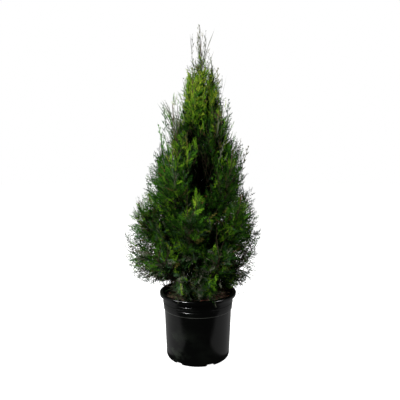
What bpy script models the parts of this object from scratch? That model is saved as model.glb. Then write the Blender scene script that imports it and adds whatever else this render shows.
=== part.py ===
"""Potted thuja: a small conical evergreen in a black nursery pot. Blender 4.5, metres, +Z up.

The origin is the middle of the pot's flat underside, -Y is the plant's front and +X its right.
A trunk runs up the middle of the crown. Boughs leave it in tiers, and each ends where a mass of
foliage begins. A mass is one stem, its thick middle and flat toothed sprays that stand out of it.
"""

import math
import random

import bmesh
import bpy
import numpy as np
from mathutils import Matrix, Vector
from mathutils.bvhtree import BVHTree

GAP = 0.0003  # air between two pieces that touch in the real plant

# ---- pot -------------------------------------------------------------------------------------
POT_HEIGHT = 0.240
RIM_RADIUS = 0.140
LIP_HEIGHT = 0.013  # the rolled rim, seen from the side
LIP_ROUND = 0.003
LIP_UNDERCUT = 0.0005  # the rim's foot is this much narrower than its widest
LIP_NECK = 0.003  # height over which the rim runs into the band
BAND_TOP_RADIUS = 0.1285  # the wall just under the rim
BAND_FOOT_RADIUS = 0.1255
BAND_FOOT = 0.178  # height of the step under the band
RIB_HEIGHT = 0.203  # a low moulded rib half-way up the band
RIB_OUT = 0.0014
RIB_HALF = 0.0022
STEP_IN = 0.0028
STEP_FALL = 0.0005  # the step is this much lower at the wall than at the band
INNER_LIP = 0.004  # height of the bevel inside the rim
INNER_LIP_OUT = 0.003
SEAM = 0.001  # height between the inner wall's top and the step under the band
INNER_STEP = 0.182  # the same step on the inside, higher by a wall's thickness
HEEL_RADIUS = 0.1155
HEEL_ROUND = 0.010
HEEL_BEVEL = 0.006  # inside the heel
HEEL_END = -62  # degrees, where the heel's round meets the foot ring
WALL = 0.0016
FOOT_RING = (0.098, 0.1075)  # inner and outer radius of the ring that the pot stands on
PAD_RADIUS = 0.046
UNDERSIDE_LIFT = 0.0040  # the floor between pad and ring is this far off the ground
FLOOR_THICK = 0.0020
FOOT_SLOPE = 0.0015  # the pad and the ring are this much wider where they meet the floor
POT_STEPS = 36
NOTCHES = 6
NOTCH_WIDTH = 0.030
NOTCH_HEIGHT = 0.0090  # higher than the pot's floor, so that water leaves here too
NOTCH_TURN = 23.5  # degrees from the front, towards +X, of the first notch in the ring
NOTCH_SHIFT = 0.004  # the cutter's middle lies this far in from the middle of ring and rim
DRAIN_RADIUS = 0.006
DRAIN_CIRCLE = 0.074
DRAIN_SIDES = 10
DRILL_LENGTH = 0.02
MERGE = 0.00001

# ---- potting mix -----------------------------------------------------------------------------
SOIL_TOP = 0.219
SOIL_EDGE_DROP = 0.004
SOIL_PAD_RADIUS = 0.030  # level ground round the trunk
SOIL_RINGS = (0.105, 0.080, 0.055)
SOIL_ROUGHNESS = 0.0022
SOIL_LUMPS = (-1, 0.4)  # lowest and highest lump, in shares of the roughness
SOIL_SEED = 11
SOIL_STEPS = 18
SOIL_GAP = 0.0012  # to the wall at a corner of the plug, so that the flats clear it too

# ---- trunk -----------------------------------------------------------------------------------
TRUNK_FOOT = SOIL_TOP + GAP
TRUNK_TIP = 0.930
TRUNK_RADIUS = 0.0105
TRUNK_TIP_RADIUS = 0.0026
FLARE_RADIUS = 0.0075  # added to the radius at the ground
FLARE_HEIGHT = 0.018
FLARE_LOBES = 5
FLARE_LOBE = 0.3  # share of the flare that comes and goes round the foot
FLARE_TURN = 0.7
LEAN = 0.012  # sideways drift of the tip, towards +X
SWAY = 0.004
SWAY_WAVES = 1.1  # over the trunk's height
SWAY_BACK = 0.5  # front-to-back sway as a share of the sideways one
TAPER_POWER = 0.9
RING_POWER = 1.6  # above 1, rings stand closer at the foot
TRUNK_SIDES = 8
TRUNK_RINGS = 11

# ---- crown outline: height, reach to the left, reach to the right -----------------------------
OUTLINE = (
    (0.222, 0.146, 0.178),
    (0.255, 0.160, 0.178),
    (0.282, 0.212, 0.196),
    (0.312, 0.250, 0.214),
    (0.370, 0.268, 0.228),
    (0.460, 0.268, 0.234),
    (0.540, 0.249, 0.230),
    (0.620, 0.206, 0.204),
    (0.700, 0.178, 0.188),
    (0.800, 0.142, 0.174),
    (0.870, 0.134, 0.152),
    (0.920, 0.118, 0.112),
    (0.950, 0.098, 0.100),
    (0.975, 0.052, 0.094),
    (1.020, 0.045, 0.082),
    (1.060, 0.042, 0.056),
    (1.110, 0.030, 0.042),
    (1.155, 0.022, 0.028),
    (1.186, 0.014, 0.018),
    (1.196, 0.004, 0.008),
)
CROWN_TOP = OUTLINE[-1][0]

# The dark hollow between the boughs at the front: centre and half sizes.
HOLLOW = Vector((0.016, -0.150, 0.660))
HOLLOW_HALF = Vector((0.036, 0.105, 0.085))

# ---- limbs -----------------------------------------------------------------------------------
SPACING = 0.12  # how far a limb may stray from even spacing in its whorl
LIFT = 0.016  # how far a limb's heights may stray
FORK_LIFT = 0.6  # share of that at the fork
TIP_SHARE = 0.985  # of the crown's reach, where a limb ends
EARLY = 0.6  # share of the way to the elbow where a limb's curve is led first
LINE_STEPS = 24
LEADER_TIP_X = 0.004
LEADER_BOW = 0.005
CUT_ROUNDS = 8  # passes that lay a limb's foot against the trunk
LEAST_SLOPE = 0.3
LIMB_ANGLE = 60  # degrees, edges sharper than this stay sharp

# ---- foliage ---------------------------------------------------------------------------------
# The thick middle of a mass: places along the stem, and its radius there as a share of the full.
CORE_PLACES = (0.0, 0.28, 0.66, 0.97)
CORE_FULLNESS = (0.25, 1.0, 0.9, 0.26)
CORE_SIDES = 5
CORE_LEAST = 0.0035
CORE_ROOM = 0.42  # share of the way to the next stem that the thick middle may take
CORE_CLEAR = 0.003
CORE_DENT = 0.22
STEM_SHARE = 0.94  # the stem stops inside the thick middle, at the root of the last spray
BOUGH_SIDES = 5
STEM_SIDES = 3
BOUGH_RADIUS = 0.0042
BOUGH_TIP_RADIUS = 0.0024
STEM_TIP_RADIUS = 0.0009
# A spray's outline, as shares of its length: points on its rib, then tips and notches of teeth.
RIDGE = (0.40, 0.63)
TOOTH_TIPS = ((0.52, 0.30), (0.77, 0.32), (0.94, 0.18))
TOOTH_NOTCHES = ((0.44, 0.15), (0.65, 0.13), (0.86, 0.06))
SPRAY_WIDTH = 1.25  # multiplies the teeth's reach
TOP_WIDTH = 0.5  # the same for the spray at the very top of the plant
SPRAY_THICK = 0.030  # thickness at the rib over length
RIDGE_FALL = 0.25
TOOTH_SLIP = 0.03
TOOTH_REACH = (0.86, 1.10)
ROOT_IN_CORE = 0.40  # a spray starts this far out from the stem to the core's surface
TRIES = 6  # at a mass whose union comes out faulty
ATTEMPTS = 30  # tries to find room for a spray
SHORTER = 0.020  # share of its length that a spray loses with each try
SWUNG = 0.30  # radians that it turns on with each try
LAST_SHORTER = 0.015  # the same loss for the spray at a stem's tip
LENGTHS = (0.90, 1.12)
SPREADS = (48, 72)  # degrees between a spray and its stem, at the stem's foot
SPREAD_CLOSES = 20  # degrees less at the tip
LAST_PLACE = 0.91  # along the stem, of the spray at its tip
LAST_SHARE = 0.99  # of the way to the stem's end that it reaches
FIRST_PLACE = 0.08
PLACES = 0.73  # share of the stem over which the other sprays stand
ROLL = 0.7
FAN = 0.72  # 1 spreads sprays all round a stem, 0 lays them all on its outer side
CELL_MARGIN = 0.0016  # air that a mass leaves to its neighbours' space
LIMB_MARGIN = 0.0016
POT_MARGIN = 0.0015
RIM_SPAN = 0.004  # foliage keeps above the rim within this distance of its two sides
TIP_ROOM = 0.72  # share of a spray's length that the thick middle stops short of the tip
BEGIN_ON_TRUNK = 0.24  # share of a stem with no foliage, if it stands on the trunk
BEGIN = 0.05  # the same for a stem on a bough
ROOT_SUNK = 0.010  # a spray's first stretch, inside the stem or the core, may be anywhere
NEAR = 0.30  # masses further off than this are no neighbours
TURN = math.radians(137.5)  # from one spray to the next round a stem


class Tier:
    """One whorl of limbs: how many, where they fork, turn upwards and end, and their sprays."""

    def __init__(self, name, count, turn, fork, elbow, tip, bare, core, sprays, spray, rise):
        self.name = name
        self.count = count
        self.turn = math.radians(turn)  # of its first limb, from +X
        self.fork = fork  # height where it leaves the trunk
        self.elbow = elbow  # height where it turns upwards, and share of the crown's reach there
        self.tip = tip  # height where it meets the crown's outline
        self.bare = bare  # share of the limb that is a bough, with no foliage
        self.core = core  # radius of the thick middle of a mass, 0 for none
        self.sprays = sprays
        self.spray = spray  # length of a spray
        self.rise = rise  # upward pull on a spray at the stem's foot and at its tip


TIERS = (
    Tier("skirt", 5, 236, 0.240, (0.250, 0.50), 0.262, 0.00, 0.0, 4, 0.110, (0.0, 0.0)),
    Tier("low", 7, 290, 0.256, (0.300, 0.72), 0.430, 0.34, 0.032, 8, 0.128, (-0.45, 0.20)),
    Tier("broad", 6, 262, 0.320, (0.420, 0.68), 0.600, 0.32, 0.036, 7, 0.136, (0.0, 0.30)),
    Tier("middle", 5, 306, 0.450, (0.570, 0.64), 0.785, 0.28, 0.034, 8, 0.128, (0.0, 0.40)),
    Tier("upper", 4, 226, 0.610, (0.720, 0.60), 0.925, 0.00, 0.026, 7, 0.116, (0.0, 0.45)),
    Tier("spire", 3, 264, 0.770, (0.880, 0.50), 1.050, 0.00, 0.016, 7, 0.098, (0.0, 0.50)),
)
LEADER = Tier("leader", 1, 0, TRUNK_TIP, (1.03, 0.2), CROWN_TOP, 0.0, 0.011, 9, 0.088, (0.3, 0.6))

GREEN = (0.035, 0.105, 0.018, 1.0)
BARK = (0.145, 0.085, 0.050, 1.0)
POT_BLACK = (0.012, 0.013, 0.012, 1.0)
SOIL_BROWN = (0.045, 0.028, 0.018, 1.0)
ROUGHNESS = {"foliage": 0.55, "bark": 0.85, "pot": 0.32, "potting_mix": 0.95}


# ---- helpers ---------------------------------------------------------------------------------
def material(name, colour):
    made = bpy.data.materials.new(name)
    made.use_nodes = True
    shader = made.node_tree.nodes["Principled BSDF"]
    shader.inputs["Base Color"].default_value = colour
    shader.inputs["Roughness"].default_value = ROUGHNESS[name]
    shader.inputs["Metallic"].default_value = 0.0
    made.diffuse_color = colour
    return made


def add_object(name, mesh, look=None):
    obj = bpy.data.objects.new(name, mesh)
    bpy.context.scene.collection.objects.link(obj)
    if look:
        mesh.materials.append(look)
    return obj


def mesh_of(name, points, faces):
    """A mesh from points and faces, with its faces turned outwards."""
    form = bmesh.new()
    corners = [form.verts.new(p) for p in points]
    for face in faces:
        form.faces.new([corners[i] for i in face])
    bmesh.ops.recalc_face_normals(form, faces=form.faces)
    bmesh.ops.triangulate(form, faces=form.faces)
    mesh = bpy.data.meshes.new(name)
    form.to_mesh(mesh)
    form.free()
    return mesh


def smooth(obj):
    obj.data.shade_smooth()
    obj.data.set_sharp_from_angle(angle=math.radians(LIMB_ANGLE))


def crown_reach(height, angle):
    """How far from the Z axis the crown reaches at this height, in this direction."""
    heights = [row[0] for row in OUTLINE]
    left = np.interp(height, heights, [row[1] for row in OUTLINE])
    right = np.interp(height, heights, [row[2] for row in OUTLINE])
    return (left + right) / 2 + (right - left) / 2 * np.cos(angle)


def trunk_rows():
    """Height, middle and greatest radius of each ring of the trunk, from the ground up."""
    rows = []
    for i in range(TRUNK_RINGS):
        height = TRUNK_FOOT + (TRUNK_TIP - TRUNK_FOOT) * (i / (TRUNK_RINGS - 1)) ** RING_POWER
        up = (height - TRUNK_FOOT) / (TRUNK_TIP - TRUNK_FOOT)
        sway = SWAY * math.sin(math.tau * SWAY_WAVES * up)
        taper = TRUNK_RADIUS + (TRUNK_TIP_RADIUS - TRUNK_RADIUS) * up**TAPER_POWER
        flare = FLARE_RADIUS * math.exp((TRUNK_FOOT - height) / FLARE_HEIGHT)
        rows.append((height, LEAN * up * up + sway * up, SWAY_BACK * sway, taper, flare))
    return rows


TRUNK_ROWS = trunk_rows()


def along_trunk(height, column):
    return float(np.interp(height, [r[0] for r in TRUNK_ROWS], [r[column] for r in TRUNK_ROWS]))


def trunk_centre(height):
    """The trunk's middle at this height: upright at the foot, with a slight lean and sway."""
    return Vector((along_trunk(height, 1), along_trunk(height, 2), height))


def trunk_radius(height):
    return along_trunk(height, 3) + along_trunk(height, 4)


def distances(points, line):
    """From each point to the nearest point of a polyline, with its place along the line."""
    starts, alongs = line[:-1], np.diff(line, axis=0)
    to_points = points[:, None, :] - starts[None, :, :]
    shares = (to_points * alongs).sum(axis=2) / (alongs * alongs).sum(axis=1)
    shares = np.clip(shares, 0, 1)
    far = np.linalg.norm(to_points - shares[:, :, None] * alongs, axis=2)
    nearest = far.argmin(axis=1)
    rows = np.arange(len(points))
    return far[rows, nearest], nearest + shares[rows, nearest]


def ring(centre, direction, guide, radius, sides, turn=0.0):
    """Corners of a regular ring square to a direction. The guide keeps a row of rings untwisted."""
    side = (guide - direction * guide.dot(direction)).normalized()
    other = direction.cross(side)
    return [
        centre
        + radius * math.cos(turn + math.tau * k / sides) * side
        + radius * math.sin(turn + math.tau * k / sides) * other
        for k in range(sides)
    ]


def skin(rings):
    """Faces of a tube over rings of equal count, closed at both ends."""
    sides = len(rings[0])
    faces = [tuple(range(sides))]
    for i in range(len(rings) - 1):
        low, high = i * sides, (i + 1) * sides
        faces += [
            (low + k, low + (k + 1) % sides, high + (k + 1) % sides, high + k)
            for k in range(sides)
        ]
    last = (len(rings) - 1) * sides
    faces.append(tuple(last + k for k in range(sides)))
    return faces


def tube(name, line, guide, radii, sides, foot=None):
    """A tapering limb along a line of points. A foot is a ring and a middle shaped to the trunk."""
    rings = []
    for i, centre in enumerate(line):
        before, after = line[max(i - 1, 0)], line[min(i + 1, len(line) - 1)]
        rings.append(ring(centre, (after - before).normalized(), guide, radii[i], sides))
    if foot:
        rings[0] = foot[:-1]
    points = [p for r in rings for p in r]
    faces = skin(rings)
    if foot:
        points.append(foot[-1])
        faces[0:1] = [(k, (k + 1) % sides, len(points) - 1) for k in range(sides)]
    return mesh_of(name, points, faces)


def saddle(line, guide, radius, sides):
    """The foot of a limb, cut to lie round the trunk with a gap: its corners, then its middle."""
    direction = (line[1] - line[0]).normalized()
    points = []
    for point in [*ring(line[0], direction, guide, radius, sides), line[0]]:
        for _ in range(CUT_ROUNDS):
            middle = trunk_centre(point.z)
            out = Vector((point.x - middle.x, point.y - middle.y))
            short = trunk_radius(point.z) + 2 * GAP - out.length
            point = point + direction * (short / max(LEAST_SLOPE, direction.xy.length))
        points.append(point)
    return points


# ---- pot and potting mix ---------------------------------------------------------------------
def arc(centre, radius, start, end, steps):
    """Points of an arc in the (radius, height) plane, angles in degrees."""
    angles = [math.radians(start + (end - start) * k / steps) for k in range(steps + 1)]
    return [
        (centre[0] + radius * math.cos(a), centre[1] + radius * math.sin(a))
        for a in angles
    ]


def band_radius(height):
    """Outer radius of the band between the rim and the step."""
    share = (height - BAND_FOOT) / (POT_HEIGHT - LIP_HEIGHT - BAND_FOOT)
    return BAND_FOOT_RADIUS + (BAND_TOP_RADIUS - BAND_FOOT_RADIUS) * share


def pot_outside():
    """The pot's outer side from the top of the rim down to the edge of the foot ring."""
    lip_foot = POT_HEIGHT - LIP_HEIGHT
    step_radius = BAND_FOOT_RADIUS - STEP_IN
    heel = (HEEL_RADIUS - HEEL_ROUND, HEEL_ROUND)
    return [
        *arc((RIM_RADIUS - LIP_ROUND, POT_HEIGHT - LIP_ROUND), LIP_ROUND, 90, 0, 2),
        (RIM_RADIUS - LIP_UNDERCUT, lip_foot),
        (band_radius(lip_foot - LIP_NECK), lip_foot - LIP_NECK),
        (band_radius(RIB_HEIGHT + RIB_HALF), RIB_HEIGHT + RIB_HALF),
        (band_radius(RIB_HEIGHT) + RIB_OUT, RIB_HEIGHT),
        (band_radius(RIB_HEIGHT - RIB_HALF), RIB_HEIGHT - RIB_HALF),
        (BAND_FOOT_RADIUS, BAND_FOOT),
        (step_radius, BAND_FOOT - STEP_FALL),
        *arc(heel, HEEL_ROUND, 0, HEEL_END, 2),
        (FOOT_RING[1], 0.0),
    ]


def inner_radius(height):
    """Radius of the pot's inner wall."""
    step_radius = BAND_FOOT_RADIUS - STEP_IN
    if height >= INNER_STEP:
        return band_radius(height) - WALL
    share = (height - HEEL_ROUND) / (BAND_FOOT - HEEL_ROUND)
    return HEEL_RADIUS - WALL + (step_radius - HEEL_RADIUS) * share


def pot_inside():
    """The pot's inner side from the middle of the floor up to the top of the rim."""
    floor = UNDERSIDE_LIFT + FLOOR_THICK
    return [
        (0.0, floor),
        (HEEL_RADIUS - WALL - HEEL_BEVEL, floor),
        (inner_radius(floor + HEEL_BEVEL), floor + HEEL_BEVEL),
        (inner_radius(BAND_FOOT - SEAM), BAND_FOOT - SEAM),
        (inner_radius(INNER_STEP), INNER_STEP),
        (inner_radius(POT_HEIGHT - INNER_LIP), POT_HEIGHT - INNER_LIP),
        (inner_radius(POT_HEIGHT - INNER_LIP) + INNER_LIP_OUT, POT_HEIGHT),
    ]


def underside():
    """Foot ring, lifted floor and the flat pad in the middle."""
    inner_foot, _ = FOOT_RING
    return [
        (inner_foot, 0.0),
        (inner_foot - FOOT_SLOPE, UNDERSIDE_LIFT),
        (PAD_RADIUS + FOOT_SLOPE, UNDERSIDE_LIFT),
        (PAD_RADIUS, 0.0),
        (0.0, 0.0),
    ]


def cutter(name, mesh, collection):
    obj = bpy.data.objects.new(name, mesh)
    obj.hide_render = True
    obj.display_type = "WIRE"
    collection.objects.link(obj)
    return obj


def block(size):
    form = bmesh.new()
    bmesh.ops.create_cube(form, size=1.0)
    bmesh.ops.scale(form, vec=size, verts=form.verts)
    mesh = bpy.data.meshes.new("block")
    form.to_mesh(mesh)
    form.free()
    return mesh


def drill(radius, length):
    form = bmesh.new()
    ends = {"radius1": radius, "radius2": radius}
    bmesh.ops.create_cone(form, cap_ends=True, segments=DRAIN_SIDES, depth=length, **ends)
    mesh = bpy.data.meshes.new("drill")
    form.to_mesh(mesh)
    form.free()
    return mesh


def build_pot(look):
    """The shell is turned from one profile, then the ring is notched and the floor drained."""
    profile = pot_inside() + pot_outside() + underside()
    mesh = bpy.data.meshes.new("pot")
    edges = [(i, i + 1) for i in range(len(profile) - 1)]
    mesh.from_pydata([(r, 0.0, z) for r, z in profile], edges, [])
    pot = add_object("pot", mesh, look)
    screw = pot.modifiers.new("turn", "SCREW")
    screw.axis = "Z"
    screw.steps = screw.render_steps = POT_STEPS
    screw.use_merge_vertices = True
    screw.merge_threshold = MERGE
    screw.use_smooth_shade = False
    cutters = bpy.data.collections.new("pot_cutters")
    bpy.context.scene.collection.children.link(cutters)
    notch_middle = (FOOT_RING[0] + RIM_RADIUS) / 2 - NOTCH_SHIFT
    for k in range(NOTCHES):
        angle = math.radians(NOTCH_TURN - 90 + 360 * k / NOTCHES)
        out = Vector((math.cos(angle), math.sin(angle), 0))
        notch = cutter(
            f"notch_cutter_{k}",
            block((RIM_RADIUS - FOOT_RING[0], NOTCH_WIDTH, 2 * NOTCH_HEIGHT)),
            cutters,
        )
        notch.location = out * notch_middle
        notch.rotation_euler = (0, 0, angle)
        drain = cutter(f"drain_cutter_{k}", drill(DRAIN_RADIUS, DRILL_LENGTH), cutters)
        drain.location = out * DRAIN_CIRCLE + Vector((0, 0, UNDERSIDE_LIFT))
    cut = pot.modifiers.new("notches and drains", "BOOLEAN")
    cut.operation = "DIFFERENCE"
    cut.operand_type = "COLLECTION"
    cut.collection = cutters
    cut.solver = "EXACT"
    return pot


def build_soil(look):
    """A plug of potting mix that fills the pot, rough on top and level round the trunk."""
    rng = random.Random(SOIL_SEED)
    floor = UNDERSIDE_LIFT + FLOOR_THICK + GAP
    edge_top = SOIL_TOP - SOIL_EDGE_DROP
    side = [
        (HEEL_RADIUS - WALL - HEEL_BEVEL - SOIL_GAP, floor),
        (inner_radius(floor + HEEL_BEVEL) - SOIL_GAP, floor + HEEL_BEVEL),
        (inner_radius(BAND_FOOT - SEAM) - SOIL_GAP, BAND_FOOT - SEAM),
        (inner_radius(edge_top) - SOIL_GAP, edge_top),
    ]
    top = [*SOIL_RINGS, SOIL_PAD_RADIUS]
    points, rings = [(0, 0, floor)], []
    for radius, height in side + [(r, SOIL_TOP) for r in top]:
        on_top = height >= edge_top and SOIL_PAD_RADIUS < radius
        first = len(points)
        for k in range(SOIL_STEPS):
            angle = math.tau * k / SOIL_STEPS
            lift = rng.uniform(*SOIL_LUMPS) * SOIL_ROUGHNESS if on_top else 0
            points.append(
                (radius * math.cos(angle), radius * math.sin(angle), height + lift)
            )
        rings.append(range(first, first + SOIL_STEPS))
    points.append((0, 0, SOIL_TOP))
    faces = []
    for k in range(SOIL_STEPS):
        after = (k + 1) % SOIL_STEPS
        faces.append((0, rings[0][k], rings[0][after]))
        faces.append((len(points) - 1, rings[-1][k], rings[-1][after]))
        for low, high in zip(rings, rings[1:]):
            faces.append((low[k], low[after], high[after]))
            faces.append((low[k], high[after], high[k]))
    return add_object("potting_mix", mesh_of("potting_mix", points, faces), look)


# ---- trunk and boughs ------------------------------------------------------------------------
def build_trunk(look):
    """Tapering trunk with a lobed root flare, cut flat just above the potting mix."""
    rings = []
    for height, x, y, taper, flare in TRUNK_ROWS:
        corners = []
        for k in range(TRUNK_SIDES):
            angle = math.tau * k / TRUNK_SIDES
            lobe = 1 - FLARE_LOBE + FLARE_LOBE * math.cos(FLARE_LOBES * angle + FLARE_TURN)
            out = Vector((math.cos(angle), math.sin(angle), 0))
            corners.append(Vector((x, y, height)) + out * (taper + flare * lobe))
        rings.append(corners)
    mesh = mesh_of("trunk", [p for r in rings for p in r], skin(rings))
    trunk = add_object("trunk", mesh, look)
    smooth(trunk)
    return trunk


class Limb:
    """The line of one bough and of the stem that grows on from it: out, then up to its tip."""

    def __init__(self, tier, index, rng):
        self.tier = tier
        self.rng = rng
        self.name = tier.name if tier.count == 1 else f"{tier.name}_{index + 1}"
        self.turn = tier.turn + math.tau * (index + rng.uniform(-SPACING, SPACING)) / tier.count
        self.out = Vector((math.cos(self.turn), math.sin(self.turn), 0))
        self.guide = Vector((-self.out.y, self.out.x, 0))  # level, and square to the limb
        lift = rng.uniform(-LIFT, LIFT)
        fork = tier.fork + FORK_LIFT * lift
        tip = self.on_crown(tier.tip + lift, TIP_SHARE)
        elbow_height, elbow_share = tier.elbow
        elbow = self.on_crown(elbow_height + lift, elbow_share)
        if tier is LEADER:
            start = trunk_centre(TRUNK_TIP) + Vector((0, 0, GAP))
            tip = Vector((LEADER_TIP_X, 0.0, CROWN_TOP))
            elbow = start.lerp(tip, EARLY) + Vector((LEADER_BOW, 0, 0))
        else:
            start = trunk_centre(fork) + self.out * (trunk_radius(fork) + 2 * GAP)
        early = start.lerp(elbow, EARLY)
        self.line = [
            self.bezier(start, early, elbow, tip, t / LINE_STEPS) for t in range(LINE_STEPS + 1)
        ]

    def on_crown(self, height, share):
        """The point at this height and this share of the crown's reach, in the limb's direction."""
        return self.out * (share * float(crown_reach(height, self.turn))) + Vector((0, 0, height))

    @staticmethod
    def bezier(a, b, c, d, t):
        u = 1 - t
        return a * u**3 + b * 3 * u * u * t + c * 3 * u * t * t + d * t**3

    def at(self, share):
        """The point this far along the line, from 0 at the trunk to 1 at the outline."""
        place = min(max(share, 0.0), 1.0) * (len(self.line) - 1)
        i = min(int(place), len(self.line) - 2)
        return self.line[i].lerp(self.line[i + 1], place - i)

    def direction(self, share):
        return (self.at(share + 0.02) - self.at(share - 0.02)).normalized()

    def length(self):
        return sum((b - a).length for a, b in zip(self.line, self.line[1:]))

    def stretch(self, start, end, steps):
        return [self.at(start + (end - start) * k / steps) for k in range(steps + 1)]


def build_bough(limb, look):
    """A bare bough, from its saddle on the trunk to the flat end where its stem begins."""
    line = limb.stretch(0.0, limb.tier.bare, 4)
    radii = [
        BOUGH_RADIUS + (BOUGH_TIP_RADIUS - BOUGH_RADIUS) * k / (len(line) - 1)
        for k in range(len(line))
    ]
    foot = saddle(line, limb.guide, BOUGH_RADIUS, BOUGH_SIDES)
    name = f"bough_{limb.name}"
    mesh = tube(name, line, limb.guide, radii, BOUGH_SIDES, foot)
    bough = add_object(name, mesh, look)
    smooth(bough)
    return bough


# ---- foliage ---------------------------------------------------------------------------------
class Space:
    """The room that each mass has: its cell between the stems, clear of limbs, pot and hollow."""

    def __init__(self, limbs):
        self.limbs = limbs
        self.cells = [
            np.array([limb.at(s) for s in np.linspace(limb.tier.bare, 1.0, 9)])
            for limb in limbs
        ]
        heights = np.linspace(TRUNK_FOOT, TRUNK_TIP, 24)
        self.middles = np.array([cell.mean(axis=0) for cell in self.cells])
        self.trunk = np.array([trunk_centre(h) for h in heights])
        self.trunk_radii = np.array([trunk_radius(h) for h in heights])
        self.boughs = [
            np.array(limb.stretch(0.0, limb.tier.bare, 6))
            for limb in limbs
            if limb.tier.bare
        ]

    def beyond_others(self, points, own):
        """How much nearer each point is to its own stem than to any other."""
        mine, _ = distances(points, self.cells[own])
        others = np.full(len(points), np.inf)
        apart = np.linalg.norm(self.middles - points.mean(axis=0), axis=1)
        for i, cell in enumerate(self.cells):
            if i != own and apart[i] < NEAR:
                others = np.minimum(others, distances(points, cell)[0])
        return others - mine, others

    def off_limbs(self, points):
        """Clear distance from each point to the nearest bough or to the trunk."""
        far, place = distances(points, self.trunk)
        clear = far - np.interp(place, range(len(self.trunk)), self.trunk_radii)
        apart = points.mean(axis=0)
        for line in self.boughs:
            if np.linalg.norm(line - apart, axis=1).min() < NEAR / 2:
                clear = np.minimum(clear, distances(points, line)[0] - BOUGH_RADIUS)
        return clear

    def off_all_limbs(self, points):
        return self.off_limbs(points) > LIMB_MARGIN

    def inside_crown(self, points):
        angles = np.arctan2(points[:, 1], points[:, 0])
        radial = np.hypot(points[:, 0], points[:, 1])
        return (radial <= crown_reach(points[:, 2], angles)) & (points[:, 2] <= CROWN_TOP)

    def off_pot(self, points):
        radial = np.hypot(points[:, 0], points[:, 1])
        inner_edge = inner_radius(POT_HEIGHT) - RIM_SPAN
        over_rim = (radial > inner_edge) & (radial < RIM_RADIUS + RIM_SPAN)
        lowest = np.where(over_rim, POT_HEIGHT + POT_MARGIN, SOIL_TOP + POT_MARGIN)
        return points[:, 2] >= lowest

    def off_hollow(self, points):
        inside = (points - np.array(HOLLOW)) / np.array(HOLLOW_HALF)
        return (inside**2).sum(axis=1) >= 1

    def holds(self, points, own):
        """True if a spray with these points stays in its mass's own room."""
        away = np.linalg.norm(points - points[0], axis=1) > ROOT_SUNK
        free = points[away]
        rules = (self.inside_crown, self.off_pot, self.off_hollow, self.off_all_limbs)
        return all(rule(free).all() for rule in rules) and bool(
            (self.beyond_others(free, own)[0] > CELL_MARGIN).all()
        )


def spray_outline(length, width, rng):
    """A flat spray in its own plane, rib along X: the ridge's points, then each edge's teeth."""
    ridge = [(length * x, 0.0) for x in RIDGE]
    edges = []
    for side in (1, -1):
        slip = rng.uniform(-TOOTH_SLIP, TOOTH_SLIP)
        chain = []
        for (tip_x, tip_y), (notch_x, notch_y) in zip(TOOTH_TIPS, TOOTH_NOTCHES):
            out = rng.uniform(*TOOTH_REACH) * width
            chain.append((length * (tip_x + slip), side * length * tip_y * out))
            chain.append((length * (notch_x + slip), side * length * notch_y * out))
        edges.append(chain)
    return edges, ridge


def spray_shape(length, width, rng):
    """A toothed blade: thick along its rib, thinning to an edge, its root a short upright edge."""
    edges, ridge = spray_outline(length, width, rng)
    half = SPRAY_THICK * length / 2
    points = [(0, 0, half), (0, 0, -half), (length, 0, 0)]
    apex = 2
    sides = []
    for foot, lift in ((0, half), (1, -half)):
        sides.append([foot] + [len(points) + k for k in range(len(ridge))])
        points += [(x, y, lift * (1 - RIDGE_FALL * k)) for k, (x, y) in enumerate(ridge)]
    faces = []
    for chain in edges:
        first = len(points)
        points += [(x, y, 0.0) for x, y in chain]
        tips = range(first, len(points), 2)
        notches = range(first + 1, len(points), 2)
        for rib in sides:
            faces.append((rib[0], tips[0], notches[0]))
            for k in range(1, len(rib)):
                faces.append((rib[k - 1], notches[k - 1], rib[k]))
                faces.append((rib[k], notches[k - 1], tips[k]))
                faces.append((rib[k], tips[k], notches[k]))
            faces.append((rib[-1], notches[-1], apex))
        faces.append((0, 1, tips[0]))
    return np.array(points), faces


def samples(points, faces):
    """Points all over a spray: its root first, then corners, edge middles and face middles."""
    corners = points[np.array(faces)]
    middles = (corners + np.roll(corners, 1, axis=1)) / 2
    return np.concatenate(
        [np.zeros((1, 3)), points, middles.reshape(-1, 3), corners.mean(axis=1)]
    )


def moved(points, matrix):
    turn = np.array(matrix.to_3x3())
    return points @ turn.T + np.array(matrix.translation)


def spray_matrix(root, direction, outward, roll):
    """Places a spray: rib along direction, laid like a tile on the crown, then rolled a little."""
    side = direction.cross(outward)
    side = side.normalized() if side.length > 0.2 else direction.orthogonal().normalized()
    up = side.cross(direction).normalized()
    across = side * math.cos(roll) + up * math.sin(roll)
    normal = direction.cross(across).normalized()
    basis = Matrix((direction, across, normal)).transposed()
    return Matrix.Translation(root) @ basis.to_4x4()


def core_radii(limb, space, own, start, end):
    """The radius of a mass's thick middle at each of its rings, held in by what is near."""
    radii = []
    for share, full in zip(CORE_PLACES, CORE_FULLNESS):
        point = np.array([limb.at(start + (end - start) * share)])
        _, others = space.beyond_others(point, own)
        room = min(CORE_ROOM * others[0], space.off_limbs(point)[0] - CORE_CLEAR)
        radii.append(float(max(CORE_LEAST, min(limb.tier.core * full, room))))
    return radii


def core_mesh(limb, radii, start, end):
    """A spindle round the stem with an uneven outline."""
    rings = []
    for share, radius in zip(CORE_PLACES, radii):
        place = start + (end - start) * share
        centre = limb.at(place)
        corners = ring(centre, limb.direction(place), limb.guide, radius, CORE_SIDES, share)
        rings.append([c.lerp(centre, limb.rng.uniform(0, CORE_DENT)) for c in corners])
    return mesh_of("core", [p for r in rings for p in r], skin(rings))


def outer_tree(points, faces):
    """A search tree of the faces of a spray that lie clear of its root."""
    return BVHTree.FromPolygons(points.tolist(), [f for f in faces if not {0, 1} & set(f)])


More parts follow.
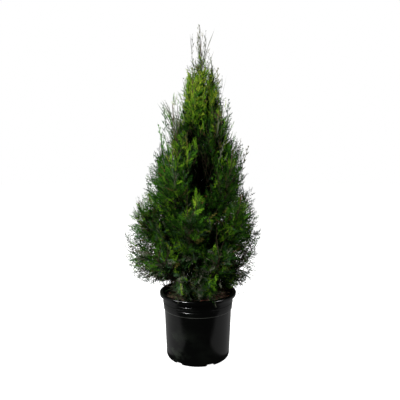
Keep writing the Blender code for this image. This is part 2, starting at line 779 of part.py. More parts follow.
def place_sprays(limb, space, own, start, end, radii, count):
    """Sprays up the stem, each turned on from the last; one that finds no room is skipped."""
    tier, rng = limb.tier, limb.rng
    made, trees = [], []
    turn = rng.uniform(0, math.tau)
    for k in range(count):
        last = k == 0
        width = TOP_WIDTH if last and tier is LEADER else SPRAY_WIDTH
        share = LAST_PLACE if last else FIRST_PLACE + PLACES * (k - 1) / (count - 2)
        place = start + (end - start) * share
        along = limb.direction(place)
        outward = (limb.out - along * limb.out.dot(along)).normalized()
        turn += TURN
        for attempt in range(ATTEMPTS):
            length = tier.spray * rng.uniform(*LENGTHS) * (1 - SHORTER * attempt)
            spread = math.radians(rng.uniform(*SPREADS) - SPREAD_CLOSES * share)
            swing = (turn + SWUNG * attempt) % math.tau - math.pi
            side = Matrix.Rotation(swing * FAN, 3, along) @ outward
            direction = along * math.cos(spread) + side * math.sin(spread)
            direction.z += tier.rise[0] + (tier.rise[1] - tier.rise[0]) * share
            direction.normalize()
            if last:
                reach = limb.at(1.0) - limb.at(place)
                length = reach.length * (LAST_SHARE - LAST_SHORTER * attempt)
                direction = reach.normalized()
            sunk = ROOT_IN_CORE * float(np.interp(share, CORE_PLACES, radii)) if radii else 0.0
            root = limb.at(place) + direction * (0.0 if last else sunk)
            matrix = spray_matrix(root, direction, limb.out, rng.uniform(-ROLL, ROLL))
            points, faces = spray_shape(length, width, rng)
            placed = moved(points, matrix)
            if not space.holds(moved(samples(points, faces), matrix), own):
                continue
            tree = outer_tree(placed, faces)
            if any(tree.overlap(other) for other in trees):
                continue
            trees.append(tree)
            made.append(mesh_of("spray", placed, faces))
            break
    return made


def keep_largest_shell(mesh):
    """Drops loose scraps and fills the hollows that a union has sealed."""
    form = bmesh.new()
    form.from_mesh(mesh)
    bmesh.ops.triangulate(form, faces=form.faces, ngon_method="EAR_CLIP")
    shells, seen = [], set()
    for face in form.faces:
        if face in seen:
            continue
        seen.add(face)
        shell, rim = [face], [face]
        while rim:
            for edge in rim.pop().edges:
                beyond = edge.link_faces if len(edge.link_faces) == 2 else ()
                for other in beyond:
                    if other not in seen:
                        seen.add(other)
                        shell.append(other)
                        rim.append(other)
        shells.append(shell)
    shells.sort(key=len)
    spare = [face for shell in shells[:-1] for face in shell]
    bmesh.ops.delete(form, geom=spare, context="FACES")
    form.to_mesh(mesh)
    form.free()


def is_closed(mesh):
    """True if every edge has two faces."""
    form = bmesh.new()
    form.from_mesh(mesh)
    closed = all(edge.is_manifold for edge in form.edges)
    form.free()
    return closed


def join_pieces(stem, meshes):
    """One union of the stem with all the other pieces of its mass."""
    pieces = bpy.data.collections.new("pieces")
    bpy.context.scene.collection.children.link(pieces)
    for mesh in meshes:
        pieces.objects.link(bpy.data.objects.new("piece", mesh))
    union = stem.modifiers.new("union", "BOOLEAN")
    union.operation = "UNION"
    union.operand_type = "COLLECTION"
    union.collection = pieces
    union.solver = "MANIFOLD"
    bpy.context.view_layer.objects.active = stem
    bpy.ops.object.modifier_apply(modifier=union.name)
    for piece in list(pieces.objects):
        bpy.data.objects.remove(piece)
    bpy.data.collections.remove(pieces)
    keep_largest_shell(stem.data)


def build_mass(limb, space, own, look):
    """Stem, thick middle and sprays of one mass. A try with a faulty union is thrown away."""
    tier = limb.tier
    start = tier.bare + GAP / limb.length() if tier.bare else 0.0
    end = 1.0 - TIP_ROOM * tier.spray / limb.length()
    on_trunk = not tier.bare and tier is not LEADER
    begin = start + (BEGIN_ON_TRUNK if on_trunk else BEGIN) * (end - start)
    line = limb.stretch(start, begin + STEM_SHARE * (end - begin), 4)
    foot = saddle(line, limb.guide, BOUGH_TIP_RADIUS, STEM_SIDES) if on_trunk else None
    radii = core_radii(limb, space, own, begin, end) if tier.core else []
    thin = STEM_TIP_RADIUS - BOUGH_TIP_RADIUS
    stem_radii = [BOUGH_TIP_RADIUS + thin * k / (len(line) - 1) for k in range(len(line))]
    for spare in range(TRIES):
        meshes = place_sprays(limb, space, own, begin, end, radii, tier.sprays - spare // 2)
        if tier.core:
            meshes.append(core_mesh(limb, radii, begin, end))
        mesh = tube("stem", line, limb.guide, stem_radii, STEM_SIDES, foot)
        mass = add_object(f"foliage_{limb.name}", mesh, look)
        join_pieces(mass, meshes)
        if is_closed(mass.data):
            return
        bpy.data.objects.remove(mass)


def build():
    for obj in list(bpy.data.objects):
        bpy.data.objects.remove(obj)
    foliage = material("foliage", GREEN)
    bark = material("bark", BARK)
    build_pot(material("pot", POT_BLACK))
    build_soil(material("potting_mix", SOIL_BROWN))
    build_trunk(bark)
    limbs = [
        Limb(tier, index, random.Random(f"{tier.name} {index}"))
        for tier in (*TIERS, LEADER)
        for index in range(tier.count)
    ]
    space = Space(limbs)
    for own, limb in enumerate(limbs):
        if limb.tier.bare:
            build_bough(limb, bark)
        build_mass(limb, space, own, foliage)


build()
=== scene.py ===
import random
from collections import namedtuple
from math import atan2, cos, exp, hypot, pi, radians, sin, sqrt, tau

import bpy
import numpy as np
from mathutils import Matrix, Vector


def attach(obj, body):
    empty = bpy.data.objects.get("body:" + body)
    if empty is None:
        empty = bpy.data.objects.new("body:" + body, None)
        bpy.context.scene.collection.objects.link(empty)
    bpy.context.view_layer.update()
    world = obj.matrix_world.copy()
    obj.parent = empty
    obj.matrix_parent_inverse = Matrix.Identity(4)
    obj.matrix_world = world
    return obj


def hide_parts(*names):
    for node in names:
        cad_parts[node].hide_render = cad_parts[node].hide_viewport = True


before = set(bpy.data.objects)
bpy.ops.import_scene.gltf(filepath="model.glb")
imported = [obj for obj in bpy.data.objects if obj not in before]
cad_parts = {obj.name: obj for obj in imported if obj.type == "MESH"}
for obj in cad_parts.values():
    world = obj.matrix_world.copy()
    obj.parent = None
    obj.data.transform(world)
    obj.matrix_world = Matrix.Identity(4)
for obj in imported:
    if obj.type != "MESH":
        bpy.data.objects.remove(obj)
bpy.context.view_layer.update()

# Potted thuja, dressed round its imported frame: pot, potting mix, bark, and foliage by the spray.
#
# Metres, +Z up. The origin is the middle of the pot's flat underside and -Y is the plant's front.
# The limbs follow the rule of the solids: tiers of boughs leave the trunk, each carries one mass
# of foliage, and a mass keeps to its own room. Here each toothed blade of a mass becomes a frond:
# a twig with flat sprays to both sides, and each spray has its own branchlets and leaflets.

BODY = "root"
GAP = 0.0003


def metres(*rows):
    """Rows of lengths given in millimetres, in metres."""
    return tuple(metres(*row) if isinstance(row, tuple) else row / 1000 for row in rows)


# ---- pot ----
POT_HEIGHT = 0.240
RIM_RADIUS = 0.140
LIP_HEIGHT = 0.013
LIP_ROUND = 0.0038
LIP_EDGE = 0.0012
BAND_TOP_RADIUS = 0.1285
BAND_FOOT_RADIUS = 0.1255
BAND_FOOT = 0.178
RIBS = ((0.2035, 0.0014, 0.0020), (0.1945, 0.0005, 0.0011), (0.2125, 0.0005, 0.0011))
STEP_IN = 0.0028
INNER_STEP = 0.182
HEEL_RADIUS = 0.1155
HEEL_ROUND = 0.010
HEEL_BEVEL = 0.006
WALL = 0.0016
FOOT_RING = (0.098, 0.1075)
PAD_RADIUS = 0.046
UNDERSIDE_LIFT = 0.0040
FLOOR_THICK = 0.0020
POT_STEPS = 144
NOTCHES = 6
NOTCH_WIDTH = 0.030
NOTCH_HEIGHT = 0.0090
NOTCH_TURN = 23.5
DRAIN_RADIUS = 0.006
DRAIN_CIRCLE = 0.074

# ---- potting mix ----
SOIL_TOP = 0.219
SOIL_EDGE_DROP = 0.004
SOIL_CLEAR = 0.0005
SOIL_RINGS = 26
SOIL_STEPS = 96
SOIL_ROUGHNESS = 0.0016
LITTER_REACH = (0.024, 0.119)
CHIPS = 620
CHIP_COLOURS = {
    "chip_dark": (0.030, 0.018, 0.012),
    "chip_brown": (0.085, 0.045, 0.026),
    "chip_tan": (0.200, 0.125, 0.080),
}
DEAD_SPRAYS = 150
LITTER_COLOURS = {
    "litter_rust": (0.230, 0.080, 0.050),
    "litter_pink": (0.330, 0.170, 0.125),
    "litter_straw": (0.300, 0.220, 0.120),
}

# ---- trunk ----
TRUNK_FOOT = SOIL_TOP + GAP
TRUNK_TIP = 0.930
TRUNK_RADIUS = 0.0105
TRUNK_TIP_RADIUS = 0.0026
FLARE_RADIUS = 0.0075
FLARE_HEIGHT = 0.018
FLARE_LOBES = 5
LEAN = 0.012
TRUNK_ROWS = 11  # of the solid, whose straight stretches the bark follows
TRUNK_SIDES = 40
TRUNK_RINGS = 190

# ---- crown outline: height, reach to the left, reach to the right ----
OUTLINE = metres(
    (222, 146, 178), (255, 160, 178), (282, 212, 196), (312, 250, 214), (370, 268, 228),
    (460, 268, 234), (540, 249, 230), (620, 206, 204), (700, 178, 188), (800, 142, 174),
    (870, 134, 152), (920, 118, 112), (950, 98, 100), (975, 52, 94), (1020, 45, 82),
    (1060, 42, 56), (1110, 30, 42), (1155, 22, 28), (1186, 14, 18), (1196, 4, 8),
)
CROWN_TOP = OUTLINE[-1][0]
# The same for its full foliage, beyond which only thin upright twigs stand out.
FULLNESS = metres(
    (222, 100, 85), (250, 110, 100), (262, 112, 150), (268, 180, 172), (282, 212, 190),
    (312, 243, 204), (370, 258, 215), (460, 255, 219), (540, 232, 212), (620, 187, 185),
    (700, 160, 170), (750, 140, 160), (800, 112, 146), (850, 84, 128), (900, 66, 102),
    (950, 55, 88), (985, 48, 77), (1020, 42, 61), (1060, 33, 40), (1090, 8, 10),
)
# Dark pockets that no foliage grows in: the middle of each, and its half sizes.
HOLLOWS = metres(
    ((16, -150, 679), (34, 100, 70)), ((-24, -100, 805), (12, 60, 50)),
    ((42, -205, 598), (19, 60, 40)), ((-62, -215, 575), (24, 70, 36)),
    ((94, -200, 585), (24, 70, 28)), ((47, -235, 480), (18, 50, 45)),
)
# At the front the low foliage leaves the rim open to both sides: the side, from how far out, and
# the least height there, which rises towards the front.
OPEN_EDGES = ((-1, 0.080, 0.284), (-1, 0.165, 0.266), (1, 0.065, 0.248))
OPEN_FROM = -0.030
OPEN_RISE = 0.29
# Out at the sides the lowest foliage is lacy: from how far out, up to what height, and the share
# of its sprays that is missing.
LACY_FROM = 0.125
LACY_BELOW = 0.410
LACY_GAPS = {"full": 0.64, "inner": 1.0, "whip": 0.24, "tall": 0.0}

BOUGH_RADIUS = 0.0042
BOUGH_TIP_RADIUS = 0.0024
STEM_TIP_RADIUS = 0.0009
CELL_MARGIN = 0.0010
LIMB_MARGIN = 0.0010
NEAR = 0.30
LINE_STEPS = 24
TIP_REACH = 0.985  # of the crown's own, at a limb's tip
STEM_END = 0.97  # share of a limb's line where its last frond leaves
TURN = radians(137.5)


# A whorl of limbs as in the solids. `rise` is the upward pull on a frond at the stem's foot and at
# its tip. Then come what dresses each mass: fronds, their length and pairs of sprays, and the thin
# upright twigs at its end, with their lengths and how far they lean outwards.
Tier = namedtuple(
    "Tier", "name count turn fork elbow tip bare rise fronds frond pairs whips lengths lean"
)
TIERS = (
    Tier("skirt", 5, 236, 0.240, (0.250, 0.50), 0.262, 0.00, (0.0, 0.0),
         26, 0.085, 4, 4, (0.03, 0.05), 1.0),
    Tier("low", 7, 290, 0.256, (0.300, 0.72), 0.430, 0.34, (-0.45, 0.20),
         22, 0.105, 5, 3, (0.05, 0.08), 0.8),
    Tier("broad", 6, 262, 0.320, (0.420, 0.68), 0.600, 0.32, (0.0, 0.30),
         22, 0.105, 5, 4, (0.05, 0.09), 0.5),
    Tier("middle", 5, 306, 0.450, (0.570, 0.64), 0.785, 0.28, (0.0, 0.40),
         24, 0.100, 5, 8, (0.05, 0.09), 0.3),
    Tier("upper", 4, 226, 0.610, (0.720, 0.60), 0.925, 0.00, (0.0, 0.45),
         28, 0.092, 5, 13, (0.05, 0.11), 0.35),
    Tier("spire", 3, 264, 0.770, (0.880, 0.50), 1.050, 0.00, (0.0, 0.50),
         42, 0.076, 4, 6, (0.05, 0.09), 0.15),
)
LEADER = Tier("leader", 1, 0, TRUNK_TIP, (1.03, 0.2), CROWN_TOP, 0.0, (0.3, 0.6),
              36, 0.060, 4, 3, (0.05, 0.09), 0.0)

# ---- a spray, as shares of its own length ----
# kind: how many patterns, branchlets, their reach, leaflets on each, width of a scale and of the
# rib, and the angle of a branchlet
KINDS = {
    "full": (16, 9, 0.32, 1, 0.068, 0.036, 44),
    "inner": (5, 8, 0.38, 0, 0.110, 0.040, 55),
    "whip": (10, 6, 0.30, 1, 0.060, 0.036, 38),
    "tall": (10, 7, 0.26, 1, 0.028, 0.022, 30),
}
TESTED = ((0.4, 0.2), (0.4, -0.2), (0.68, 0.2), (0.68, -0.2), (0.9, 0.08), (0.9, -0.08), (1, 0))
SHRINKS = (1.0, 0.8, 0.62, 0.46)
INNER_LIMIT = 0.84  # share of the reach that inner sprays keep to
TALL_BEYOND = 0.005  # how far past the outline tall ones may go
FILL = 0.13  # how far from a stem its mass is filled
FULL_FILL = (23.0, 0.60)  # filling fronds to a litre, and the share of the reach they start at
INNER_FILL = (13.0, 0.0)
DENSE = 6.0  # how many times as close fronds may stand in the narrow top and round the trunk
BROAD_REACH = 0.24  # where the crown reaches this far, they stand no closer than that
CORE_RADIUS, CORE_FILL = 0.075, 2.5  # round the trunk, and how many times as many there
LOW_BOUGHS, LOW_FILL = 0.34, 1.8  # the same below this height
# The same behind the hollows: middle and half sizes across and in height.
BACKING, BACKING_FILL = ((0.0, 0.56), (0.11, 0.31)), 2.0
WHIP_TRIES = 8
WHIP_ROOT = 0.85  # along the frond that carries it
WHIP_ROLL = 1.2
HIGHEST = 0.35  # share of a mass's fronds that carry whips
UPRIGHT_LENGTHS = (0.040, 0.115)
# Tips of thin upright twigs that stand out above the crown's shoulders.
UPRIGHTS = metres(
    (5, 0, 1190), (20, 6, 1172), (-20, -4, 1157), (31, 4, 1153), (36, -8, 1132),
    (-27, 10, 1104), (53, 6, 1083), (-39, -6, 1067), (4, -30, 1112), (4, 36, 1118),
    (50, 16, 1045), (-36, 20, 1030), (70, -10, 1042), (86, 10, 1018), (92, -12, 995),
    (100, 12, 978), (110, -20, 930), (136, 0, 905), (152, -30, 880), (164, 10, 858),
    (172, -20, 825), (180, 20, 770), (-96, -10, 958), (-74, 20, 942), (-102, 20, 940),
    (-116, -20, 926), (-124, 10, 902), (-134, 0, 884), (-136, -30, 840), (-120, -40, 900),
    (-150, 20, 790), (-160, -40, 765),
)
# Fronds that stand or hang in the open, each from its knee to its tip.
OPEN_FRONDS = metres(
    ((6, -190, 545), (-4, -200, 615)), ((-6, -175, 600), (-22, -188, 690)),
    ((46, -108, 272), (56, -153, 238)), ((60, -104, 270), (64, -150, 243)),
    ((128, -30, 302), (152, -34, 266)), ((138, 10, 302), (156, 2, 268)),
)
OPEN_LENGTH = 0.075  # of their leafy end
LEAFY_FROM = 0.14  # least share of a frond's length with no sprays
OUTER_SIZES = (0.72, 1.18)
INNER_SIZES = (0.60, 1.05)
FROND_ANGLES, FROND_CLOSES = (44, 68), 24  # degrees off the stem, and by how many less at its top
FROND_SWING = 0.86  # how much of the way round the stem they turn
SPRAY_ANGLES, SPRAY_CLOSES = (36, 54), 14  # the same for sprays along a frond
SPRAY_SIZE, SPRAY_SHRINKS, END_SPRAY = 0.60, 0.34, 0.42  # shares of its leafy length
SWEEP_SPREAD = (13, 0.30)  # degrees up or down, and radians round
TWIG_RADII = (0.0012, 0.0004)
TWIG_SIDES = 3
# Height, and degrees that foliage points above the level there.
SWEEP = ((0.24, -25), (0.30, -12), (0.40, 8), (0.50, 30), (0.62, 46), (0.80, 60), (1.00, 72))

# ---- leaf colours, dealt out by the spray ----
# The tints also paint light and shade: leaf_shade paints shade deep in the crown, the lighter
# greens paint highlights where it is lit, and leaf_grey paints glints low down besides grey twigs.
TINTS = {
    "leaf_shade": (0.004, 0.011, 0.002),
    "leaf_deep": (0.014, 0.052, 0.005),
    "leaf_blue": (0.046, 0.098, 0.042),
    "leaf_green": (0.040, 0.130, 0.008),
    "leaf_fresh": (0.115, 0.250, 0.012),
    "leaf_yellow": (0.250, 0.345, 0.026),
    "leaf_olive": (0.110, 0.105, 0.022),
    "leaf_dead": (0.170, 0.095, 0.040),
    "leaf_grey": (0.120, 0.130, 0.090),
}
INNER_TINTS = {
    "leaf_shade": 3.0, "leaf_deep": 0.6, "leaf_blue": 0.1, "leaf_olive": 0.05, "leaf_dead": 0.02
}
# Where young growth shows and the crown catches the light, so partly painted highlights: the middle
# of each patch, and its radius.
YOUNG_AND_LIT = metres(
    ((6, -30, 980), 140), ((10, -60, 880), 80), ((-70, -120, 760), 80),
    ((-75, -170, 580), 60), ((-6, -200, 610), 65), ((40, -200, 440), 35),
    ((100, -110, 740), 50), ((75, -150, 318), 95), ((-85, -200, 430), 50),
    ((90, -160, 480), 45), ((60, 120, 720), 70), ((-100, 150, 520), 60),
    ((120, 170, 380), 60), ((-40, 90, 850), 70), ((-200, 30, 440), 45),
    ((180, 40, 450), 45),
)


# ---- node trees ----
class Value:
    """A socket whose numbers join in sums written as plain expressions."""

    def __init__(self, look, socket):
        self.look = look
        self.socket = socket

    def maths(self, operation, first, second):
        return self.look.node("ShaderNodeMath", {"operation": operation}, {0: first, 1: second})

    def __add__(self, other):
        return self.maths("ADD", self, other)

    def __rsub__(self, other):
        return self.maths("SUBTRACT", other, self)

    def __mul__(self, other):
        return self.maths("MULTIPLY", self, other)

    __radd__ = __add__
    __rmul__ = __mul__


class Look:
    """One material: a Principled shader and the nodes that feed it."""

    def __init__(self, name, colour, roughness, **plain):
        self.material = bpy.data.materials.new(name)
        self.material.use_nodes = True
        self.material.diffuse_color = (*colour, 1)
        self.tree = self.material.node_tree
        self.shader = self.tree.nodes["Principled BSDF"]
        self.shader.inputs["Base Color"].default_value = (*colour, 1)
        self.shader.inputs["Roughness"].default_value = roughness
        for socket, value in plain.items():
            self.shader.inputs[socket.replace("_", " ")].default_value = value

    def node(self, kind, settings=None, inputs=None, output=0):
        """Adds a node, its settings first and then its sockets, and hands back one output."""
        made = self.tree.nodes.new(kind)
        for name, setting in (settings or {}).items():
            setattr(made, name, setting)
        for name, given in (inputs or {}).items():
            self.fill(made.inputs[name], given)
        return Value(self, made.outputs[output])

    def fill(self, socket, given):
        if isinstance(given, Value):
            self.tree.links.new(given.socket, socket)
        else:
            socket.default_value = given

    def place(self):
        """Object coordinates."""
        return self.node("ShaderNodeTexCoord", output="Object")

    def stretched(self, scale):
        return self.node("ShaderNodeMapping", None, {"Vector": self.place(), "Scale": scale})

    def noise(self, vector, scale, detail=4.0, roughness=0.55):
        sockets = {"Vector": vector, "Scale": scale, "Detail": detail, "Roughness": roughness}
        return self.node("ShaderNodeTexNoise", None, sockets, "Fac")

    def ramp(self, value, low, high):
        """0 up to low, 1 from high on, and smooth between."""
        settings = {"interpolation_type": "SMOOTHSTEP"}
        sockets = {"Value": value, "From Min": low, "From Max": high}
        return self.node("ShaderNodeMapRange", settings, sockets)

    def mixed(self, share, first, second):
        """From the first colour to the second."""
        colours = [(*c, 1) if isinstance(c, tuple) else c for c in (first, second)]
        sockets = {0: share, 6: colours[0], 7: colours[1]}
        return self.node("ShaderNodeMix", {"data_type": "RGBA"}, sockets, 2)

    def bump(self, height, strength, distance):
        sockets = {"Height": height, "Strength": strength, "Distance": distance}
        self.set("Normal", self.node("ShaderNodeBump", None, sockets))

    def set(self, socket, given):
        self.fill(self.shader.inputs[socket], given)


# ---- hand tools ----
def select_only(*pieces):
    """Deselects everything else, and makes the first of these pieces the active one."""
    bpy.ops.object.select_all(action="DESELECT")
    for piece in pieces:
        piece.select_set(True)
    if pieces:
        bpy.context.view_layer.objects.active = pieces[0]


def finished(piece, name, look, angle):
    """Names a piece, sets its place into its mesh, shades it and gives it its material."""
    piece.name = piece.data.name = name
    select_only(piece)
    bpy.ops.object.transform_apply(location=True, rotation=True, scale=True)
    bpy.ops.object.shade_smooth_by_angle(angle=radians(angle))
    piece.data.materials.clear()
    piece.data.materials.append(look.material)
    return piece


def turned(profile, steps):
    """One vertex drawn along a profile of (radius, height), then spun round the Z axis."""
    select_only()
    radius, height = profile[0]
    bpy.ops.mesh.primitive_plane_add(size=0.001, location=(radius, 0, height))
    piece = bpy.context.object
    bpy.ops.object.mode_set(mode="EDIT")
    bpy.ops.mesh.merge(type="CENTER")
    for (radius, height), (beyond, above) in zip(profile, profile[1:]):
        step = (beyond - radius, 0, above - height)
        bpy.ops.mesh.extrude_region_move(TRANSFORM_OT_translate={"value": step})
    bpy.ops.mesh.select_all(action="SELECT")
    bpy.ops.mesh.spin(steps=steps, angle=tau, center=(0, 0, 0), axis=(0, 0, 1))
    bpy.ops.mesh.select_all(action="SELECT")
    bpy.ops.mesh.remove_doubles(threshold=0.00002)
    bpy.ops.mesh.normals_make_consistent(inside=False)
    bpy.ops.object.mode_set(mode="OBJECT")
    return piece


def copied_round(piece, count):
    """The piece and its copies set evenly round the Z axis, joined."""
    copies = [piece]
    for k in range(1, count):
        copy = piece.copy()
        copy.data = piece.data.copy()
        bpy.context.collection.objects.link(copy)
        copy.matrix_world = Matrix.Rotation(tau * k / count, 4, "Z") @ piece.matrix_world
        copies.append(copy)
    return joined(copies)


def joined(pieces):
    select_only(*pieces)
    bpy.ops.object.join()
    return bpy.context.object


def applied(piece, kind, **settings):
    """Adds a modifier, sets it and applies it."""
    select_only(piece)
    made = piece.modifiers.new(kind.lower(), kind)
    for name, setting in settings.items():
        setattr(made, name, setting)
    bpy.ops.object.modifier_apply(modifier=made.name)


def cut(piece, tool):
    applied(piece, "BOOLEAN", operation="DIFFERENCE", object=tool, solver="EXACT")
    bpy.data.objects.remove(tool)


def from_arrays(name, points, faces, looks, tints=None):
    """A piece from arrays of points and faces, each face with the number of its material."""
    mesh = bpy.data.meshes.new(name)
    mesh.from_pydata(points, [], faces)
    for look in looks:
        mesh.materials.append(look.material)
    if tints is not None:
        mesh.polygons.foreach_set("material_index", np.asarray(tints, np.int32))
    piece = bpy.data.objects.new(name, mesh)
    bpy.context.scene.collection.objects.link(piece)
    return piece


def level(turn, up=0.0):
    """Out from the Z axis to one side, and up by a share of that."""
    return Vector((cos(turn), sin(turn), up))


def gathered(parts):
    """Points and faces of several parts as one."""
    points, faces = zip(*parts)
    firsts = np.cumsum([0, *map(len, points)])
    return np.concatenate(points), np.concatenate([f + n for f, n in zip(faces, firsts)])


# ---- pot ----
def arc(centre, radius, start, end, steps):
    angles = [radians(start + (end - start) * k / steps) for k in range(steps + 1)]
    return [(centre[0] + radius * cos(a), centre[1] + radius * sin(a)) for a in angles]


def band_radius(height):
    share = (height - BAND_FOOT) / (POT_HEIGHT - LIP_HEIGHT - BAND_FOOT)
    return BAND_FOOT_RADIUS + (BAND_TOP_RADIUS - BAND_FOOT_RADIUS) * share


def rib(height, out, half):
    """A low rounded rib on the band, from its top down."""
    points = []
    for share, swell in ((1.0, 0.0), (0.6, 0.75), (0.0, 1.0), (-0.6, 0.75), (-1.0, 0.0)):
        at = height + share * half
        points.append((band_radius(at) + out * swell, at))
    return points


def pot_outside():
    lip_foot = POT_HEIGHT - LIP_HEIGHT
    step_radius = BAND_FOOT_RADIUS - STEP_IN
    lip = (RIM_RADIUS - LIP_ROUND, POT_HEIGHT - LIP_ROUND)
    lower = (RIM_RADIUS - 0.0005 - LIP_EDGE, lip_foot + LIP_EDGE)
    points = [*arc(lip, LIP_ROUND, 90, 0, 6), *arc(lower, LIP_EDGE, 0, -90, 3)]
    points += arc((band_radius(lip_foot) + 0.003, lip_foot - 0.003), 0.003, 90, 180, 3)
    for height, out, half in sorted(RIBS, reverse=True):
        points += rib(height, out, half)
    points += arc((BAND_FOOT_RADIUS - 0.0008, BAND_FOOT + 0.0008), 0.0008, 0, -90, 3)
    points += arc((step_radius + 0.0012, BAND_FOOT - 0.0013), 0.0012, 90, 180, 3)
    return points + arc((HEEL_RADIUS - HEEL_ROUND, HEEL_ROUND), HEEL_ROUND, 0, -62, 6)


def inner_radius(height):
    if height >= INNER_STEP:
        return band_radius(height) - WALL
    share = (height - HEEL_ROUND) / (BAND_FOOT - HEEL_ROUND)
    return HEEL_RADIUS - WALL + (BAND_FOOT_RADIUS - STEP_IN - HEEL_RADIUS) * share


def inside_below_step(lift=0.0, clear=0.0):
    """From the middle of the floor up the wall, or a little inside that for what fills it."""
    floor = UNDERSIDE_LIFT + FLOOR_THICK + lift
    return [
        (0.0, floor),
        (HEEL_RADIUS - WALL - HEEL_BEVEL - clear, floor),
        (inner_radius(floor + HEEL_BEVEL) - clear, floor + HEEL_BEVEL),
        (inner_radius(BAND_FOOT - 0.001) - clear, BAND_FOOT - 0.001),
    ]


def pot_inside():
    inner_rim = inner_radius(POT_HEIGHT - 0.004)
    return [
        *inside_below_step(),
        (inner_radius(INNER_STEP), INNER_STEP),
        (inner_rim, POT_HEIGHT - 0.005),
        *arc((inner_rim + 0.004, POT_HEIGHT - 0.004), 0.004, 180, 90, 4),
    ]


def underside():
    ring_inner, ring_outer = FOOT_RING
    return [
        (ring_outer, 0.0),
        (ring_inner, 0.0),
        (ring_inner - 0.0015, UNDERSIDE_LIFT),
        (PAD_RADIUS + 0.0015, UNDERSIDE_LIFT),
        (PAD_RADIUS, 0.0),
        (0.0, 0.0),
    ]


def build_pot(look):
    """The shell is spun from one profile, then the foot is notched and the floor drained."""
    pot = turned(pot_inside() + pot_outside() + underside(), POT_STEPS)
    reach = RIM_RADIUS - FOOT_RING[0]
    start = Matrix.Rotation(radians(NOTCH_TURN - 90), 4, "Z")
    select_only()
    middle = (FOOT_RING[0] + RIM_RADIUS) / 2 - 0.004
    bpy.ops.mesh.primitive_cube_add(size=1, location=(middle, 0, 0))
    notch = bpy.context.object
    notch.scale = (reach, NOTCH_WIDTH, 2 * NOTCH_HEIGHT)
    bpy.ops.object.transform_apply(location=False, rotation=False, scale=True)
    applied(notch, "BEVEL", width=0.0022, segments=3)
    notch.matrix_world = start @ notch.matrix_world
    cut(pot, copied_round(notch, NOTCHES))
    select_only()
    bpy.ops.mesh.primitive_cylinder_add(
        vertices=24, radius=DRAIN_RADIUS, depth=0.02, location=(DRAIN_CIRCLE, 0, UNDERSIDE_LIFT)
    )
    drain = bpy.context.object
    drain.matrix_world = start @ drain.matrix_world
    cut(pot, copied_round(drain, NOTCHES))
    return finished(pot, "nursery_pot", look, 28)


def pot_look():
    """Satin black plastic: mould rings, a painted highlight along the step, scuffs, and dust low on
    one side.
    """
    look = Look("black_plastic", (0.008, 0.009, 0.008), 0.30, Specular_IOR_Level=0.55)
    smear = look.noise(look.stretched((1, 1, 1.6)), 11.0, 5.0, 0.62)
    fine = look.noise(look.stretched((1, 1, 12)), 60.0, 3.0, 0.6)
    parts = look.node("ShaderNodeSeparateXYZ", None, {0: look.place()})
    height = Value(look, parts.socket.node.outputs[2])
    across = Value(look, parts.socket.node.outputs[0])
    low = 1 - look.ramp(height, 0.03, 0.15)
    left = 1 - look.ramp(across, -0.11, 0.01)
    dust = look.ramp(smear, 0.45, 0.72) * (0.20 + 0.80 * low) * (0.12 + 0.88 * left)
    marks = look.ramp(fine, 0.60, 0.80) * look.ramp(smear, 0.42, 0.70) * 0.20
    # A lighter line along the foot of the band, patchy with the smears: a painted highlight where
    # the step's edge catches the light.
    step_highlight = look.ramp(height, BAND_FOOT - 0.0016, BAND_FOOT - 0.0002)
    step_highlight = step_highlight * (1 - look.ramp(height, BAND_FOOT + 0.0012, BAND_FOOT + 0.0030))
    step_highlight = step_highlight * (0.35 + 0.65 * look.ramp(smear, 0.30, 0.60))
    grime = look.mixed(dust + marks, (0.0010, 0.0012, 0.0010), (0.022, 0.028, 0.020))
    look.set("Base Color", look.mixed(step_highlight, grime, (0.060, 0.064, 0.056)))
    look.set("Roughness", 0.17 + 0.30 * dust + 0.06 * smear)
    rings = look.noise(look.stretched((0.6, 0.6, 60)), 7.0, 2.0)
    look.bump(rings * 0.5 + look.noise(look.place(), 500.0, 2.0) * 0.15, 0.10, 0.0008)
    return look


# ---- potting mix ----
def build_soil(look):
    """The plug of potting mix, spun and then roughened on top."""
    edge_top = SOIL_TOP - SOIL_EDGE_DROP
    edge = inner_radius(edge_top) - SOIL_CLEAR
    profile = inside_below_step(GAP, SOIL_CLEAR)
    for k in range(SOIL_RINGS):
        share = k / (SOIL_RINGS - 1)
        profile.append((edge * (1 - share), edge_top + SOIL_EDGE_DROP * min(1.0, 5 * share)))
    soil = turned(profile, SOIL_STEPS)
    for vertex in soil.data.vertices:
        radial = hypot(vertex.co.x, vertex.co.y)
        vertex.select = vertex.co.z > edge_top - 0.001 and 0.022 < radial < edge - 0.001
    bpy.ops.object.mode_set(mode="EDIT")
    bpy.ops.mesh.select_mode(type="VERT")
    bpy.ops.transform.vertex_random(offset=SOIL_ROUGHNESS, uniform=0.4, normal=0.8, seed=5)
    bpy.ops.object.mode_set(mode="OBJECT")
    return finished(soil, "potting_mix_fill", look, 70)


def soil_look():
    look = Look("peat_and_bark", (0.03, 0.018, 0.010), 0.95, Specular_IOR_Level=0.25)
    crumbs = look.noise(look.place(), 260.0, 6.0, 0.7)
    damp = look.noise(look.place(), 28.0, 3.0)
    ground = look.mixed(look.ramp(damp, 0.35, 0.7), (0.012, 0.008, 0.006), (0.042, 0.025, 0.015))
    look.set("Base Color", look.mixed(look.ramp(crumbs, 0.52, 0.72), ground, (0.120, 0.070, 0.042)))
    look.bump(crumbs, 0.9, 0.003)
    return look


def on_soil(rng):
    """A place on top of the potting mix."""
    least, most = LITTER_REACH
    radius = sqrt(rng.uniform(least**2, most**2))
    turn = rng.uniform(0, tau)
    height = SOIL_TOP - SOIL_EDGE_DROP * max(0.0, (radius - 0.10) / 0.026)
    return Vector((radius * cos(turn), radius * sin(turn), height))


